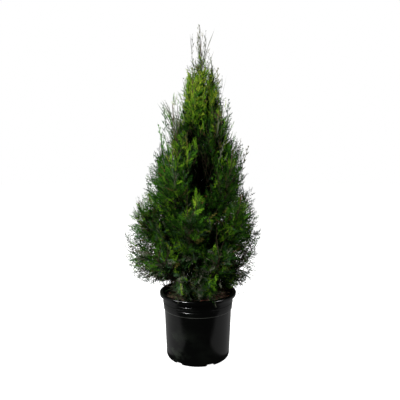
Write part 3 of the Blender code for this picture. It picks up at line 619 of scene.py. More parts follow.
def build_chips(looks):
    """Bark chips and crumbs strewn over the potting mix: one crooked chip, turned and sized."""
    rng = random.Random(23)
    chip = np.array([
        (-0.5, -0.32, 0), (0.42, -0.5, 0.05), (0.5, 0.4, 0), (-0.38, 0.5, -0.05),
        (-0.36, -0.22, 0.9), (0.3, -0.36, 1.0), (0.36, 0.3, 0.8), (-0.3, 0.36, 1.0),
    ])
    sides = np.array([
        (0, 2, 1), (0, 3, 2), (4, 5, 6), (4, 6, 7), (0, 1, 5), (0, 5, 4),
        (1, 2, 6), (1, 6, 5), (2, 3, 7), (2, 7, 6), (3, 0, 4), (3, 4, 7),
    ])
    parts, tints = [], []
    for k in range(CHIPS):
        length = rng.uniform(0.003, 0.011) * (1.3 if k % 9 == 0 else 0.8)
        size = np.array((length, length * rng.uniform(0.3, 0.7), length * rng.uniform(0.12, 0.3)))
        turn = Matrix.Rotation(rng.uniform(0, tau), 3, "Z")
        turn = turn @ Matrix.Rotation(rng.gauss(0, 0.25), 3, "X")
        place = on_soil(rng) - Vector((0, 0, size[2] * 0.3))
        parts.append(((chip * size) @ np.array(turn).T + np.array(place), sides))
        tints += [rng.choice((0, 0, 1, 2))] * len(sides)
    return from_arrays("bark_chips", *gathered(parts), looks, tints)


# ---- limbs ----
def crown_reach(height, angle, rows=OUTLINE):
    """How far from the Z axis the crown reaches at this height, in this direction."""
    heights, lefts, rights = zip(*rows)
    left = np.interp(height, heights, lefts)
    right = np.interp(height, heights, rights)
    return (left + right) / 2 + (right - left) / 2 * np.cos(angle)


def trunk_rows():
    rows = []
    for i in range(TRUNK_ROWS):
        height = TRUNK_FOOT + (TRUNK_TIP - TRUNK_FOOT) * (i / (TRUNK_ROWS - 1)) ** 1.6
        up = (height - TRUNK_FOOT) / (TRUNK_TIP - TRUNK_FOOT)
        sway = 0.004 * sin(pi * 2.2 * up)
        taper = TRUNK_RADIUS + (TRUNK_TIP_RADIUS - TRUNK_RADIUS) * up**0.9
        flare = FLARE_RADIUS * exp((TRUNK_FOOT - height) / FLARE_HEIGHT)
        rows.append((height, LEAN * up * up + sway * up, 0.5 * sway, taper, flare))
    return rows


ROWS = trunk_rows()


def along_trunk(height, column):
    return float(np.interp(height, [r[0] for r in ROWS], [r[column] for r in ROWS]))


def trunk_centre(height):
    return Vector((along_trunk(height, 1), along_trunk(height, 2), height))


def trunk_radius(height):
    return along_trunk(height, 3) + along_trunk(height, 4)


def polar(points):
    """Angles round the Z axis, and distances from it."""
    return np.arctan2(points[:, 1], points[:, 0]), np.hypot(points[:, 0], points[:, 1])


def distances(points, line):
    """From each point to the nearest point of a polyline, with its place along the line."""
    starts, alongs = line[:-1], np.diff(line, axis=0)
    to_points = points[:, None, :] - starts[None, :, :]
    shares = (to_points * alongs).sum(axis=2) / (alongs * alongs).sum(axis=1)
    shares = np.clip(shares, 0, 1)
    far = np.linalg.norm(to_points - shares[:, :, None] * alongs, axis=2)
    nearest = far.argmin(axis=1)
    rows = np.arange(len(points))
    return far[rows, nearest], nearest + shares[rows, nearest]


class Limb:
    """The line of one bough and of the stem that grows on from it: out, then up to its tip."""

    def __init__(self, tier, index):
        self.tier = tier
        self.rng = rng = random.Random(f"{tier.name} {index}")
        self.name = tier.name if tier.count == 1 else f"{tier.name}_{index + 1}"
        turned_on = tau * (index + rng.uniform(-0.12, 0.12)) / tier.count
        self.turn = radians(tier.turn) + turned_on
        self.out = level(self.turn)
        self.guide = Vector((-self.out.y, self.out.x, 0))
        lift = rng.uniform(-0.016, 0.016)
        fork = tier.fork + 0.6 * lift
        tip = self.on_crown(tier.tip + lift, TIP_REACH)
        elbow_height, elbow_share = tier.elbow
        elbow = self.on_crown(elbow_height + lift, elbow_share)
        if tier is LEADER:
            start = trunk_centre(TRUNK_TIP) + Vector((0, 0, GAP))
            tip = Vector((0.004, 0.0, CROWN_TOP))
            elbow = start.lerp(tip, 0.6) + Vector((0.005, 0, 0))
        else:
            start = trunk_centre(fork) + self.out * (trunk_radius(fork) + 2 * GAP)
        early = start.lerp(elbow, 0.6)
        shares = [k / LINE_STEPS for k in range(LINE_STEPS + 1)]
        self.line = [self.bezier(start, early, elbow, tip, share) for share in shares]

    def on_crown(self, height, share):
        return self.out * (share * float(crown_reach(height, self.turn))) + Vector((0, 0, height))

    @staticmethod
    def bezier(a, b, c, d, t):
        u = 1 - t
        return a * u**3 + b * 3 * u * u * t + c * 3 * u * t * t + d * t**3

    def at(self, share):
        place = min(max(share, 0.0), 1.0) * (len(self.line) - 1)
        i = min(int(place), len(self.line) - 2)
        return self.line[i].lerp(self.line[i + 1], place - i)

    def direction(self, share):
        return (self.at(share + 0.02) - self.at(share - 0.02)).normalized()

    def up_stem(self, part, whole=1, end=STEM_END):
        """A share of the whole line, from a part of the way up its leafy stem."""
        return self.tier.bare + (end - self.tier.bare) * part / whole

    def stretch(self, start, end, steps):
        return [self.at(start + (end - start) * k / steps) for k in range(steps + 1)]


def ring(centre, direction, guide, radii):
    """Points round a limb's line, one for each radius given."""
    side = (guide - direction * guide.dot(direction)).normalized()
    other = direction.cross(side)
    angles = np.arange(len(radii)) * tau / len(radii)
    spokes = np.outer(np.cos(angles), side) + np.outer(np.sin(angles), other)
    return np.array(centre) + spokes * np.asarray(radii)[:, None]


def tube(line, guide, radii):
    """Points and triangles of a closed tube: the radii have a row for each point of the line."""
    rings = []
    for i, centre in enumerate(line):
        before, after = line[max(i - 1, 0)], line[min(i + 1, len(line) - 1)]
        rings.append(ring(centre, (after - before).normalized(), guide, radii[i]))
    sides = len(radii[0])
    points = np.concatenate([*rings, [line[0], line[-1]]])
    k = np.arange(sides)
    after = (k + 1) % sides
    foot, tip = len(points) - 2, len(points) - 1
    faces = [np.stack([after, k, np.full(sides, foot)], axis=1)]
    for low in range(0, (len(line) - 1) * sides, sides):
        high = low + sides
        faces.append(np.stack([low + k, low + after, high + after], axis=1))
        faces.append(np.stack([low + k, high + after, high + k], axis=1))
    last = (len(line) - 1) * sides
    faces.append(np.stack([last + k, last + after, np.full(sides, tip)], axis=1))
    return points, np.concatenate(faces)


def bark_relief(rings, sides, seed):
    """How the bark swells and splits: long stringy strips that wander as they climb."""
    rng = np.random.default_rng(seed)
    up = np.arange(rings)[:, None]
    round_ = np.arange(sides)[None, :] * tau / sides
    relief = np.zeros((rings, sides))
    for waves, depth in ((3, 0.05), (5, 0.05), (8, 0.045), (13, 0.03)):
        drift = np.cumsum(rng.normal(0, 0.06, rings))[:, None]
        relief += depth * np.sin(waves * round_ + rng.uniform(0, tau) + drift * waves / 3)
    relief += 0.03 * np.sin(0.35 * up + 2 * round_)
    return 1 + relief + rng.normal(0, 0.012, (rings, sides))


def build_trunk(look):
    """The trunk with its root flare, tapering to its tip, in stringy bark."""
    heights = np.linspace(0, 1, TRUNK_RINGS) ** 1.35 * (TRUNK_TIP - TRUNK_FOOT) + TRUNK_FOOT
    relief = bark_relief(TRUNK_RINGS, TRUNK_SIDES, 3)
    angles = np.arange(TRUNK_SIDES) * tau / TRUNK_SIDES
    lobes = 0.7 + 0.3 * np.cos(FLARE_LOBES * angles + 0.7)
    line = [trunk_centre(h) for h in heights]
    radii = [
        along_trunk(h, 3) * relief[i] + along_trunk(h, 4) * lobes
        for i, h in enumerate(heights)
    ]
    points, faces = tube(line, Vector((1, 0, 0)), radii)
    return finished(from_arrays("trunk_bark", points, faces, [look]), "trunk_bark", look, 60)


def build_bough(limb, look):
    """A bough in bark, from the trunk to where its stem begins."""
    line = limb.stretch(0.0, limb.tier.bare, 30)
    relief = bark_relief(len(line), 14, len(limb.name) * 7 + int(limb.turn * 100) % 97)
    taper = np.linspace(BOUGH_RADIUS, BOUGH_TIP_RADIUS, len(line))
    points, faces = tube(line, limb.guide, relief * taper[:, None])
    name = f"bough_bark_{limb.name}"
    return finished(from_arrays(name, points, faces, [look]), name, look, 60)


def bark_look():
    """Grey-brown bark in strips, with rusty cracks between them."""
    look = Look("stringy_bark", (0.10, 0.065, 0.045), 0.9, Specular_IOR_Level=0.2)
    strips = look.noise(look.stretched((1, 1, 0.12)), 420.0, 5.0, 0.65)
    broad = look.noise(look.stretched((1, 1, 0.35)), 60.0, 3.0)
    plate = look.mixed(broad, (0.105, 0.070, 0.048), (0.190, 0.150, 0.115))
    look.set("Base Color", look.mixed(look.ramp(strips, 0.38, 0.60), (0.035, 0.018, 0.010), plate))
    look.bump(strips, 0.8, 0.0015)
    return look


# ---- room for foliage ----
class Space:
    """The room that each mass has: its cell between the stems, clear of limbs, pot and hollow."""

    def __init__(self, limbs):
        self.cells = [
            np.array([limb.at(s) for s in np.linspace(limb.tier.bare, 1.0, 9)])
            for limb in limbs
        ]
        heights = np.linspace(TRUNK_FOOT, TRUNK_TIP, 24)
        self.trunk = np.array([trunk_centre(h) for h in heights])
        self.trunk_radii = np.array([trunk_radius(h) for h in heights])
        self.boughs = [
            np.array(limb.stretch(0.0, limb.tier.bare, 6)) for limb in limbs if limb.tier.bare
        ]

    def in_own_cell(self, points, own):
        mine, _ = distances(points, self.cells[own])
        others = np.full(len(points), np.inf)
        for i, cell in enumerate(self.cells):
            nearest = np.linalg.norm(cell[:, None] - self.cells[own][None], axis=2).min()
            if i != own and nearest < NEAR:
                others = np.minimum(others, distances(points, cell)[0])
        return others - mine > CELL_MARGIN

    def off_limbs(self, points, own):
        far, place = distances(points, self.trunk)
        clear = far - np.interp(place, range(len(self.trunk)), self.trunk_radii)
        for line in self.boughs:
            if np.linalg.norm(self.cells[own][0] - line[-1]) < NEAR:
                clear = np.minimum(clear, distances(points, line)[0] - BOUGH_RADIUS)
        return clear > LIMB_MARGIN

    def off_pot(self, points, _):
        _, radial = polar(points)
        over_rim = (radial > inner_radius(POT_HEIGHT) - 0.004) & (radial < RIM_RADIUS + 0.003)
        return points[:, 2] >= np.where(over_rim, POT_HEIGHT + 0.001, SOIL_TOP + 0.001)

    def off_low_edge(self, points, _):
        x, y, z = points.T
        least = np.zeros(len(x))
        for side, out, height in OPEN_EDGES:
            least[side * x > out] = height
        return (y > OPEN_FROM) | (least == 0) | (z >= least - OPEN_RISE * y)

    def off_hollows(self, points, _):
        clear = np.ones(len(points), bool)
        for middle, half in HOLLOWS:
            clear &= (((points - middle) / half) ** 2).sum(axis=1) >= 1
        return clear

    def holds(self, points, own, kind):
        """For each row of points, whether all of them lie in the mass's room for this kind."""
        rows = FULLNESS if kind in ("full", "inner") else OUTLINE
        limit = INNER_LIMIT if kind == "inner" else 1
        beyond = TALL_BEYOND if kind == "tall" else 0

        def inside_crown(tested, _):
            angles, radial = polar(tested)
            reach = limit * crown_reach(tested[:, 2], angles, rows) + beyond
            return (radial <= reach) & (tested[:, 2] <= rows[-1][0])

        fits = np.ones(len(points), bool)
        rules = (inside_crown, self.off_pot, self.off_low_edge, self.off_hollows, self.off_limbs)
        rules += (self.in_own_cell,)
        for rule in rules:
            left = np.flatnonzero(fits)
            if len(left):
                found = rule(points[left].reshape(-1, 3), own)
                fits[left] = found.reshape(len(left), -1).all(axis=1)
        return fits

    def places(self, own, rng, kind, per_litre, start):
        """Places spread through a mass's room, from a share of the crown's reach on."""
        stem = self.cells[own]
        low, high = stem.min(axis=0) - FILL, stem.max(axis=0) + FILL
        count = int(1000 * np.prod(high - low) * per_litre * DENSE)
        draws = np.random.default_rng(rng.randrange(2**31)).random((count, 4))
        tried = low + draws[:, :3] * (high - low)
        angles, radial = polar(tried)
        reach = crown_reach(tried[:, 2], angles, FULLNESS)
        wanted = BROAD_REACH / reach * np.where(radial < CORE_RADIUS, CORE_FILL, 1.0)
        wanted *= np.where(tried[:, 2] < LOW_BOUGHS, LOW_FILL, 1.0)
        if kind == "inner":
            backing = np.abs(tried[:, ::2] - BACKING[0]) < BACKING[1]
            wanted *= np.where(backing.all(axis=1), BACKING_FILL, 1.0)
        chosen = (radial >= start * reach) & (DENSE * draws[:, 3] < wanted)
        tried = tried[chosen & (distances(tried, stem)[0] < FILL)]
        return tried[self.holds(tried[:, None], own, kind)]


# ---- sprays ----
def kite(root, angle, length, width, rng):
    """A scaly branchlet: four corners, folded a little along its middle. Root, right, tip, left."""
    along = np.array((cos(angle), sin(angle), rng.gauss(0, 0.17)))
    across = np.array((-sin(angle), cos(angle), rng.gauss(0, 0.50)))
    middle = root + along * length * 0.55
    fold = np.array((0, 0, -0.28 * width))
    half = across * width / 2
    return [root, middle - half + fold, root + along * length, middle + half + fold]


def spray_pattern(rng, branchlets, reach, leaflets, width, rib, spread):
    """A flat spray a unit long: rib along X, branchlets to both sides, and leaflets on them."""
    corners = [kite(np.zeros(3), 0.0, 1.0, rib, rng)]
    for k in range(branchlets):
        share = (k + 0.6) / branchlets
        side = 1 if k % 2 else -1
        root = np.array((0.08 + 0.86 * share, 0.0, 0.0))
        length = reach * (1 - share) ** 0.6 * min(1.0, 0.62 + share) * rng.uniform(0.75, 1.2) + 0.05
        angle = side * radians(spread * rng.uniform(0.88, 1.12) - 0.38 * spread * share)
        corners.append(kite(root, angle, length, width, rng))
        for j in range(leaflets):
            along = 0.34 + 0.34 * j / max(1, leaflets - 1)
            turn = angle + (1 if j % 2 else -1) * side * radians(rng.uniform(30, 44))
            start = root + along * length * np.array((cos(angle), sin(angle), 0.0))
            size = length * (0.58 - 0.26 * along) + 0.02
            corners.append(kite(start, turn, size, width * 0.9, rng))
    return np.array(corners)


class Spray:
    """Where one spray grows, and which pattern of its kind it takes."""

    def __init__(self, root, axes, length, curl, kind, rng):
        self.root, self.axes, self.length, self.curl, self.kind = root, axes, length, curl, kind
        self.pattern = rng.randrange(KINDS[kind][0])
        self.tint = 0


def blade_axes(direction, outward, roll):
    """Axes of a flat frond laid like a tile on the crown, then rolled: along, across, normal."""
    side = direction.cross(outward)
    side = side.normalized() if side.length > 0.2 else direction.orthogonal().normalized()
    up = side.cross(direction).normalized()
    across = side * cos(roll) + up * sin(roll)
    return direction, across, direction.cross(across).normalized()


class Frond:
    """A twig that leaves a stem and bends towards a knee and then its tip, with its sprays."""

    def __init__(self, limb, share, knee, tip, leafy, pairs, kind):
        self.corners = (limb.at(share), knee, tip)
        self.guide = blade_axes(self.direction(1), limb.out, limb.rng.uniform(-0.8, 0.8))[1]
        length = (knee - self.corners[0]).length + (tip - knee).length
        first = max(LEAFY_FROM, 1 - leafy / length)
        self.sprays = []
        for j in range(2 * pairs + 1):
            last = j == 2 * pairs
            place = 0.90 if last else first + (0.92 - first) * (j / (2 * pairs - 1)) ** 0.9
            side = 0 if last else 1 - 2 * (j % 2)
            self.sprays.append(self.spray(limb.rng, place, side, leafy, kind))

    def at(self, t):
        a, b, c = self.corners
        return a * (1 - t) ** 2 + b * 2 * t * (1 - t) + c * t * t

    def direction(self, t):
        a, b, c = self.corners
        return ((b - a) * (1 - t) + (c - b) * t).normalized()

    def spray(self, rng, place, side, leafy, kind):
        """One spray, to a side of the twig, or straight on at its end."""
        ahead = self.direction(place)
        across = (self.guide - ahead * self.guide.dot(ahead)).normalized()
        angle = side * radians(rng.uniform(*SPRAY_ANGLES) - SPRAY_CLOSES * place)
        towards = (ahead * cos(angle) + across * sin(angle)).normalized()
        size = END_SPRAY
        if side:
            size = (SPRAY_SIZE - SPRAY_SHRINKS * place) * rng.uniform(0.78, 1.2)
        if kind == "full" and (not side or place > 0.6 and rng.random() < 0.6):
            kind = "whip"
        flat = across - towards * across.dot(towards)
        if flat.length < 0.2:
            flat = ahead.cross(across).cross(towards)
        flat.normalize()
        roll = rng.gauss(0, 0.40)
        flat = flat * cos(roll) + towards.cross(flat) * sin(roll)
        axes = (towards, flat, towards.cross(flat).normalized())
        return Spray(self.at(place), axes, size * leafy, rng.gauss(0.02, 0.10), kind, rng)

    def twig(self, kept):
        """Its line as far as the last spray that fits."""
        root = self.corners[0]
        furthest = max((spray.root - root).length for spray in kept)
        line = [self.at(k / 8) for k in range(9)]
        return [p for p in line if (p - root).length <= furthest + 0.004]


def sweep(place, rng):
    """The way foliage points at a place: out from the trunk, and steeper the higher it is."""
    heights, lifts = zip(*SWEEP)
    lift_spread, turn_spread = SWEEP_SPREAD
    lift = radians(float(np.interp(place.z, heights, lifts)) + rng.gauss(0, lift_spread))
    turn = atan2(place.y, place.x) + rng.gauss(0, turn_spread)
    return level(turn) * cos(lift) + Vector((0, 0, sin(lift)))


def outer_fronds(limb):
    """The fronds that show: up the stem, each turned on from the last."""
    tier, rng = limb.tier, limb.rng
    turn = rng.uniform(0, tau)
    fronds = []
    for k in range(tier.fronds):
        share = (k + rng.uniform(0.1, 0.9)) / tier.fronds
        place = limb.up_stem(0.04 + 0.96 * share)
        along = limb.direction(place)
        outward = (limb.out - along * limb.out.dot(along)).normalized()
        turn += TURN
        spread = radians(rng.uniform(*FROND_ANGLES) - FROND_CLOSES * share)
        swing = turn % tau - pi
        side = Matrix.Rotation(swing * FROND_SWING, 3, along) @ outward
        direction = along * cos(spread) + side * sin(spread)
        direction.z += tier.rise[0] + (tier.rise[1] - tier.rise[0]) * share
        direction.normalize()
        length = tier.frond * rng.uniform(*OUTER_SIZES) * (1.08 - 0.30 * share)
        knee = limb.at(place) + 0.5 * length * direction
        tip = knee + 0.5 * length * (0.6 * direction + 0.4 * sweep(knee, rng))
        fronds.append(Frond(limb, place, knee, tip, length, tier.pairs, "full"))
    return fronds


def filling_fronds(limb, own, space, kind, per_litre, start):
    """Fronds from the stem whose tips are spread through its mass's room."""
    tier, rng = limb.tier, limb.rng
    tips = [Vector(tip) for tip in space.places(own, rng, kind, per_litre, start)]
    if not tips:
        return []
    leafy = [tier.frond * rng.uniform(*INNER_SIZES) for _ in tips]
    knees = [tip - length * 0.8 * sweep(tip, rng) for tip, length in zip(tips, leafy)]
    _, nearest = distances(np.array(knees), space.cells[own])
    fronds = []
    for tip, knee, length, step in zip(tips, knees, leafy, nearest):
        share = limb.up_stem(step, len(space.cells[own]) - 1)
        share = max(tier.bare + 0.01, share - rng.uniform(0.0, 0.10))
        fronds.append(Frond(limb, share, knee, tip, length, 4 if kind == "full" else 3, kind))
    return fronds


def open_fronds(limb, own, space):
    """Those of the placed fronds that stand in this mass's room."""
    tips = np.array([tip for _, tip in OPEN_FRONDS])
    _, nearest = distances(tips, space.cells[own])
    fronds = []
    for (knee, tip), step, mine in zip(OPEN_FRONDS, nearest, space.in_own_cell(tips, own)):
        if mine:
            share = limb.up_stem(step, len(space.cells[own]) - 1, 0.9)
            fronds.append(Frond(limb, share, Vector(knee), Vector(tip), OPEN_LENGTH, 4, "whip"))
    return fronds


def placed_whips(limb, roots):
    """Thin twigs up to the placed tips, each from the root that lets it stand most upright."""
    shortest, longest = UPRIGHT_LENGTHS
    whips = []
    for tip in map(Vector, UPRIGHTS):
        near = [root for root in roots if shortest < tip.z - root.z < longest]
        if near:
            root = min(near, key=lambda place: (tip - place).xy.length / (tip.z - place.z))
            roll = limb.rng.uniform(-WHIP_ROLL, WHIP_ROLL)
            axes = blade_axes((tip - root).normalized(), limb.out, roll)
            curl = limb.rng.gauss(0, 0.08)
            whips.append(Spray(root, axes, (tip - root).length, curl, "tall", limb.rng))
    return whips


def end_whips(limb, fronds, own, space):
    """The placed twigs of a mass, and others on its highest fronds, the first that find room."""
    tier, rng = limb.tier, limb.rng
    roots = [frond.at(WHIP_ROOT) for frond in fronds]
    high = sorted(roots, key=lambda root: -root.z)[: 1 + int(HIGHEST * len(roots))]
    stood = fitted(placed_whips(limb, roots), own, space, "tall", SHRINKS[:1])
    whips = []
    for _ in range(WHIP_TRIES * tier.whips):
        side = Matrix.Rotation(rng.uniform(0, tau), 3, "Z") @ Vector((1, 0, 0))
        lean = rng.uniform(0.02, 0.30) * side + rng.uniform(0.3, 1.3) * tier.lean * limb.out
        direction = (Vector((0, 0, 1)) + lean).normalized()
        axes = blade_axes(direction, limb.out, rng.uniform(-WHIP_ROLL, WHIP_ROLL))
        root = rng.choice(high)
        length = rng.uniform(*tier.lengths)
        whips.append(Spray(root, axes, length, rng.gauss(0, 0.12), "tall", rng))
    return stood + fitted(whips, own, space, "tall", SHRINKS[:1])[: tier.whips]


def is_lacy(place):
    return abs(place.x) > LACY_FROM and place.z < LACY_BELOW


def grow_mass(limb, own, space):
    """The sprays of one mass that fit in its room, and the lines of the twigs that carry them."""
    fronds = outer_fronds(limb) + open_fronds(limb, own, space)
    fronds += filling_fronds(limb, own, space, "full", *FULL_FILL)
    fronds += filling_fronds(limb, own, space, "inner", *INNER_FILL)
    sprays = [
        spray for frond in fronds for spray in frond.sprays
        if limb.rng.random() >= LACY_GAPS[spray.kind] * is_lacy(spray.root)
    ]
    fitting = []
    for kind in KINDS:
        fitting += fitted([spray for spray in sprays if spray.kind == kind], own, space, kind)
    kept = set(map(id, fitting))
    chosen, twigs, carriers = [], [], []
    for frond in fronds:
        carried = [spray for spray in frond.sprays if id(spray) in kept]
        if len(carried) > len(frond.sprays) // 4:
            chosen += carried
            twigs.append((frond.twig(carried), frond.guide))
            carriers.append(frond)
    return chosen + end_whips(limb, carriers, own, space), twigs


def fitted(sprays, own, space, kind, shrinks=SHRINKS):
    """The sprays that fit in their mass's room, some of them made smaller to do so."""
    places = np.array(TESTED)
    narrow = 0.5 if kind == "tall" else 1.0
    kept, waiting = [], sprays
    for shrink in shrinks:
        if not waiting:
            break
        roots = np.array([s.root for s in waiting])[:, None, :]
        ribs, sides = (
            np.array([s.axes[i] * s.length for s in waiting])[:, None, :] for i in (0, 1)
        )
        tested = roots + shrink * (places[:, :1] * ribs + narrow * places[:, 1:] * sides)
        fits = space.holds(tested, own, kind)
        for spray, fit in zip(waiting, fits):
            if fit:
                spray.length *= shrink
                kept.append(spray)
        waiting = [spray for spray, fit in zip(waiting, fits) if not fit]
    return kept


def deal_tint(spray, limb, rng):
    """Chooses a spray's colour by its kind, its height, how deep it lies, and its mass."""
    tip = spray.root + spray.axes[0] * spray.length
    reach = float(crown_reach(tip.z, atan2(tip.y, tip.x), FULLNESS))
    depth = min(1.0, max(0.0, 1 - hypot(tip.x, tip.y) / reach))
    high = min(1.0, max(0.0, (tip.z - 0.25) / 0.75))
    low = min(1.0, max(0.0, 2.0 - tip.z / 0.22))
    # Lit patches: the lighter tints there are partly young growth and partly painted highlights.
    young_and_lit = max(0.0, *(1 - (tip - Vector(place)).length / size for place, size in YOUNG_AND_LIT))
    if spray.kind == "inner":
        parts = INNER_TINTS
    else:
        whip = spray.kind in ("whip", "tall")
        bare = whip * max(0.0, (tip.z - 1.03) / 0.04 + 0.3 * (depth == 0) * high)
        bare += (spray.kind == "tall") * (depth == 0) * min(1.0, max(0.0, (tip.z - 0.68) / 0.12))
        young_and_lit *= max(0.0, 1 - bare)
        # Lighter tints rise with height and towards the outside: partly new growth, partly painted
        # light from above and on the outside of the crown.
        fresh_and_lit = 0.05 + 0.16 * high + 0.12 * limb.vigour + 2.6 * young_and_lit
        outer = 1 - min(1.0, 1.6 * depth) * (1 - high)
        yellow = 0.10 * max(0.0, fresh_and_lit - 0.35) * outer
        # Low down, grey, blue and olive tints paint glints on the sprays and near-black ones paint
        # shade, along with the greyer colour of the lower foliage.
        low_glint_and_shade = low * max(0.0, 1 - 4 * young_and_lit)
        parts = {
            "leaf_shade": 0.20 + 1.8 * max(0.0, depth - 0.15) * (1 - 0.6 * high) + 1.0 * low_glint_and_shade,
            "leaf_deep": 0.60,
            "leaf_blue": 0.34 * (1 - high) ** 1.2 + 1.3 * low_glint_and_shade,
            "leaf_green": (0.50 + 0.2 * high) * (1 - 0.8 * low_glint_and_shade),
            "leaf_fresh": fresh_and_lit * outer,
            "leaf_yellow": yellow + 2.4 * young_and_lit * max(0.0, high - 0.72) / 0.2,
            "leaf_olive": 0.04 + 0.25 * low_glint_and_shade + 0.8 * bare,
            "leaf_dead": 0.012 + 0.05 * max(0.0, depth - 0.3) + 0.2 * bare,
            "leaf_grey": 0.03 + 2.8 * low_glint_and_shade + 1.6 * bare,
        }
    weights = [max(0.0, parts.get(name, 0.0)) for name in TINTS]
    spray.tint = rng.choices(range(len(TINTS)), weights)[0]


def spray_faces(sprays, patterns):
    """Points, triangles and tints of all these sprays, each a placed and curled pattern."""
    points, tints = [], []
    for spray in sprays:
        shape = patterns[spray.kind][spray.pattern].reshape(-1, 3)
        curled = shape[:, 2] + spray.curl * shape[:, 0] ** 2
        local = np.stack([shape[:, 0], shape[:, 1], curled], axis=1) * spray.length
        points.append(local @ np.array(spray.axes) + np.array(spray.root))
        tints.append(np.full(len(shape) // 2, spray.tint))
    points = np.concatenate(points)
    first = np.arange(0, len(points), 4)[:, None]
    faces = (first + np.array([(0, 1, 2, 0, 2, 3)])).reshape(-1, 3)
    return points, faces, np.concatenate(tints)


def twig_faces(limb, twigs):
    """The mass's stem and the twigs of its fronds, tapering."""
    tier = limb.tier
    line = limb.stretch(tier.bare + 0.002, 0.965, 22)
    taper = np.linspace(BOUGH_TIP_RADIUS, STEM_TIP_RADIUS, len(line))
    parts = [tube(line, limb.guide, np.repeat(taper[:, None], 7, axis=1))]
    for line, across in twigs:
        radii = np.linspace(*TWIG_RADII, len(line))
        parts.append(tube(line, across, np.repeat(radii[:, None], TWIG_SIDES, axis=1)))
    return gathered(parts)


def build_foliage(limbs, leaf_looks, twig_look):
    """Each mass as one piece of leaves and one of twigs, standing for its solid."""
    rng = random.Random(41)
    patterns = {
        kind: [
            spray_pattern(rng, branchlets, reach * rng.uniform(0.85, 1.1), *rest)
            for _ in range(count)
        ]
        for kind, (count, branchlets, reach, *rest) in KINDS.items()
    }
    space = Space(limbs)
    for own, limb in enumerate(limbs):
        limb.vigour = limb.rng.uniform(-1, 1)
        sprays, twigs = grow_mass(limb, own, space)
        for spray in sprays:
            deal_tint(spray, limb, limb.rng)
        points, faces, tints = spray_faces(sprays, patterns)
        leaves = from_arrays(f"leaves_{limb.name}", points, faces, leaf_looks, tints)
        wood = from_arrays(f"twigs_{limb.name}", *twig_faces(limb, twigs), [twig_look])
        wood.data.shade_smooth()
        stands_for(leaves, "foliage", f"foliage_{limb.name}")
        stands_for(wood, "foliage", f"foliage_{limb.name}")
    return patterns


def build_litter(patterns, looks):
    """Fallen sprays, dry and rusty, lying on the potting mix."""
    rng = random.Random(7)
    sprays = []
    for _ in range(DEAD_SPRAYS):
        place = on_soil(rng) + Vector((0, 0, 0.0022))
        turn = rng.uniform(0, tau)
        along = level(turn, rng.gauss(0.05, 0.08)).normalized()
        across = Vector((0, 0, 1)).cross(along).normalized()
        length = rng.uniform(0.012, 0.030)
        if (place + along * length).xy.length > 0.120:
            continue
        spray = Spray(place, (along, across, along.cross(across)), length, -0.1, "full", rng)
        weights = (5, 6, 2, 1) if place.x > 0 else (2, 0, 1, 5)
        spray.tint = rng.choices(range(len(looks)), weights)[0]
        sprays.append(spray)
    points, faces, tints = spray_faces(sprays, patterns)
    return from_arrays("fallen_sprays", points, faces, looks, tints)


# ---- stage ----
CAMERA_PLACE = (0.0076, -1.444, 0.686)
CAMERA_DIP = 4.52  # degrees below the level
ROOM_LIGHT = 0.02
# name, place, target, size, power, and whether it lights matte and glossy surfaces
LIGHTS = (
    ("key", (-1.65, -1.75, 2.6), (0, 0, 0.6), (0.40, 0.40), 175, True, True),
    ("left_window", (-2.0, -1.0, 1.0), (0, 0, 0.5), (0.6, 0.8), 26, True, True),
    ("right_window", (2.0, -1.0, 1.1), (0, 0, 0.5), (0.6, 0.8), 24, True, True),
    ("left_back", (-1.7, 1.7, 2.0), (0, 0, 0.6), (0.6, 0.6), 95, True, False),
    ("right_back", (1.9, 1.4, 1.8), (0, 0, 0.6), (0.6, 0.6), 95, True, False),
    ("left_sheen", (-0.58, 0.5, 0.002), (-0.58, 0.5, 1), (0.90, 1.4), 1.0, False, True),
    ("right_sheen", (0.58, 0.5, 0.002), (0.58, 0.5, 1), (0.90, 1.4), 0.9, False, True),
)


def build_stage():
    """A plain white floor that is bright of itself and throws no light up at the plant."""
    select_only()
    bpy.ops.mesh.primitive_plane_add(size=30, location=(0, 0, 0))
    floor = bpy.context.object
    floor.name = "floor"
    plain = {"Emission_Color": (1, 1, 1, 1), "Emission_Strength": 1.0, "Specular_IOR_Level": 0.0}
    look = Look("white_floor", (0.30, 0.30, 0.30), 0.9, **plain)
    floor.data.materials.append(look.material)
    floor.visible_diffuse = False
    floor.visible_glossy = False


def area_light(name, place, target, size, power, matte, gloss):
    lamp = bpy.data.lights.new(name, "AREA")
    lamp.shape = "RECTANGLE"
    lamp.size, lamp.size_y = size
    lamp.energy = power
    holder = bpy.data.objects.new(name, lamp)
    bpy.context.scene.collection.objects.link(holder)
    holder.location = place
    holder.rotation_euler = (Vector(target) - Vector(place)).to_track_quat("-Z", "Y").to_euler()
    holder.visible_camera = False
    holder.visible_diffuse = matte
    holder.visible_glossy = gloss


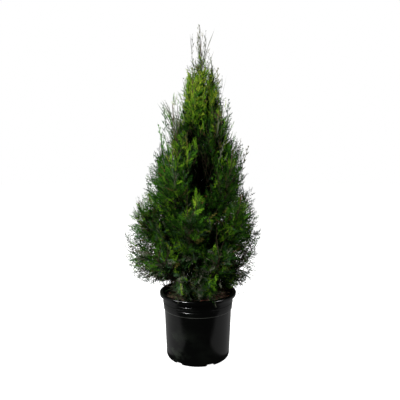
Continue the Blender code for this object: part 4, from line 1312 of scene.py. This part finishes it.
def build_light():
    """White studio: a soft key from the upper left, a weaker light on the right, pale walls."""
    world = bpy.data.worlds.new("studio")
    world.use_nodes = True
    nodes, links = world.node_tree.nodes, world.node_tree.links
    room, backdrop = nodes["Background"], nodes.new("ShaderNodeBackground")
    for background, strength in ((room, ROOM_LIGHT), (backdrop, 1.0)):
        background.inputs[0].default_value = (1, 1, 1, 1)
        background.inputs[1].default_value = strength
    path = nodes.new("ShaderNodeLightPath")
    either = nodes.new("ShaderNodeMixShader")
    links.new(path.outputs["Is Camera Ray"], either.inputs[0])
    links.new(room.outputs[0], either.inputs[1])
    links.new(backdrop.outputs[0], either.inputs[2])
    links.new(either.outputs[0], nodes["World Output"].inputs[0])
    bpy.context.scene.world = world
    for light in LIGHTS:
        area_light(*light)


def build_camera():
    lens = bpy.data.cameras.new("camera")
    lens.sensor_width = 36
    lens.lens = 36
    camera = bpy.data.objects.new("camera", lens)
    bpy.context.scene.collection.objects.link(camera)
    camera.location = CAMERA_PLACE
    camera.rotation_euler = (radians(90 - CAMERA_DIP), 0, 0)
    bpy.context.scene.camera = camera


# ---- the whole plant ----
def stands_for(piece, slot, *nodes):
    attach(piece, BODY)
    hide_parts(*nodes)


def build():
    stands_for(build_pot(pot_look()), "pot", "pot")
    stands_for(build_soil(soil_look()), "potting_mix", "potting_mix")
    chip_looks = [Look(name, colour, 0.9) for name, colour in CHIP_COLOURS.items()]
    stands_for(build_chips(chip_looks), "potting_mix", "potting_mix")
    bark = bark_look()
    stands_for(build_trunk(bark), "bark", "trunk")
    limbs = [Limb(tier, index) for tier in (*TIERS, LEADER) for index in range(tier.count)]
    for limb in limbs:
        if limb.tier.bare:
            stands_for(build_bough(limb, bark), "bark", f"bough_{limb.name}")
    leaf_looks = [
        Look(name, colour, 0.7, Specular_IOR_Level=0.05) for name, colour in TINTS.items()
    ]
    twig_look = Look("twig", (0.060, 0.045, 0.028), 0.8, Specular_IOR_Level=0.1)
    patterns = build_foliage(limbs, leaf_looks, twig_look)
    litter_looks = [Look(name, colour, 0.85) for name, colour in LITTER_COLOURS.items()]
    litter_looks.append(Look("litter_green", (0.060, 0.095, 0.025), 0.8))
    stands_for(build_litter(patterns, litter_looks), "potting_mix", "potting_mix")


build()
build_stage()
build_light()
build_camera()
bpy.context.scene.view_settings.view_transform = "Standard"
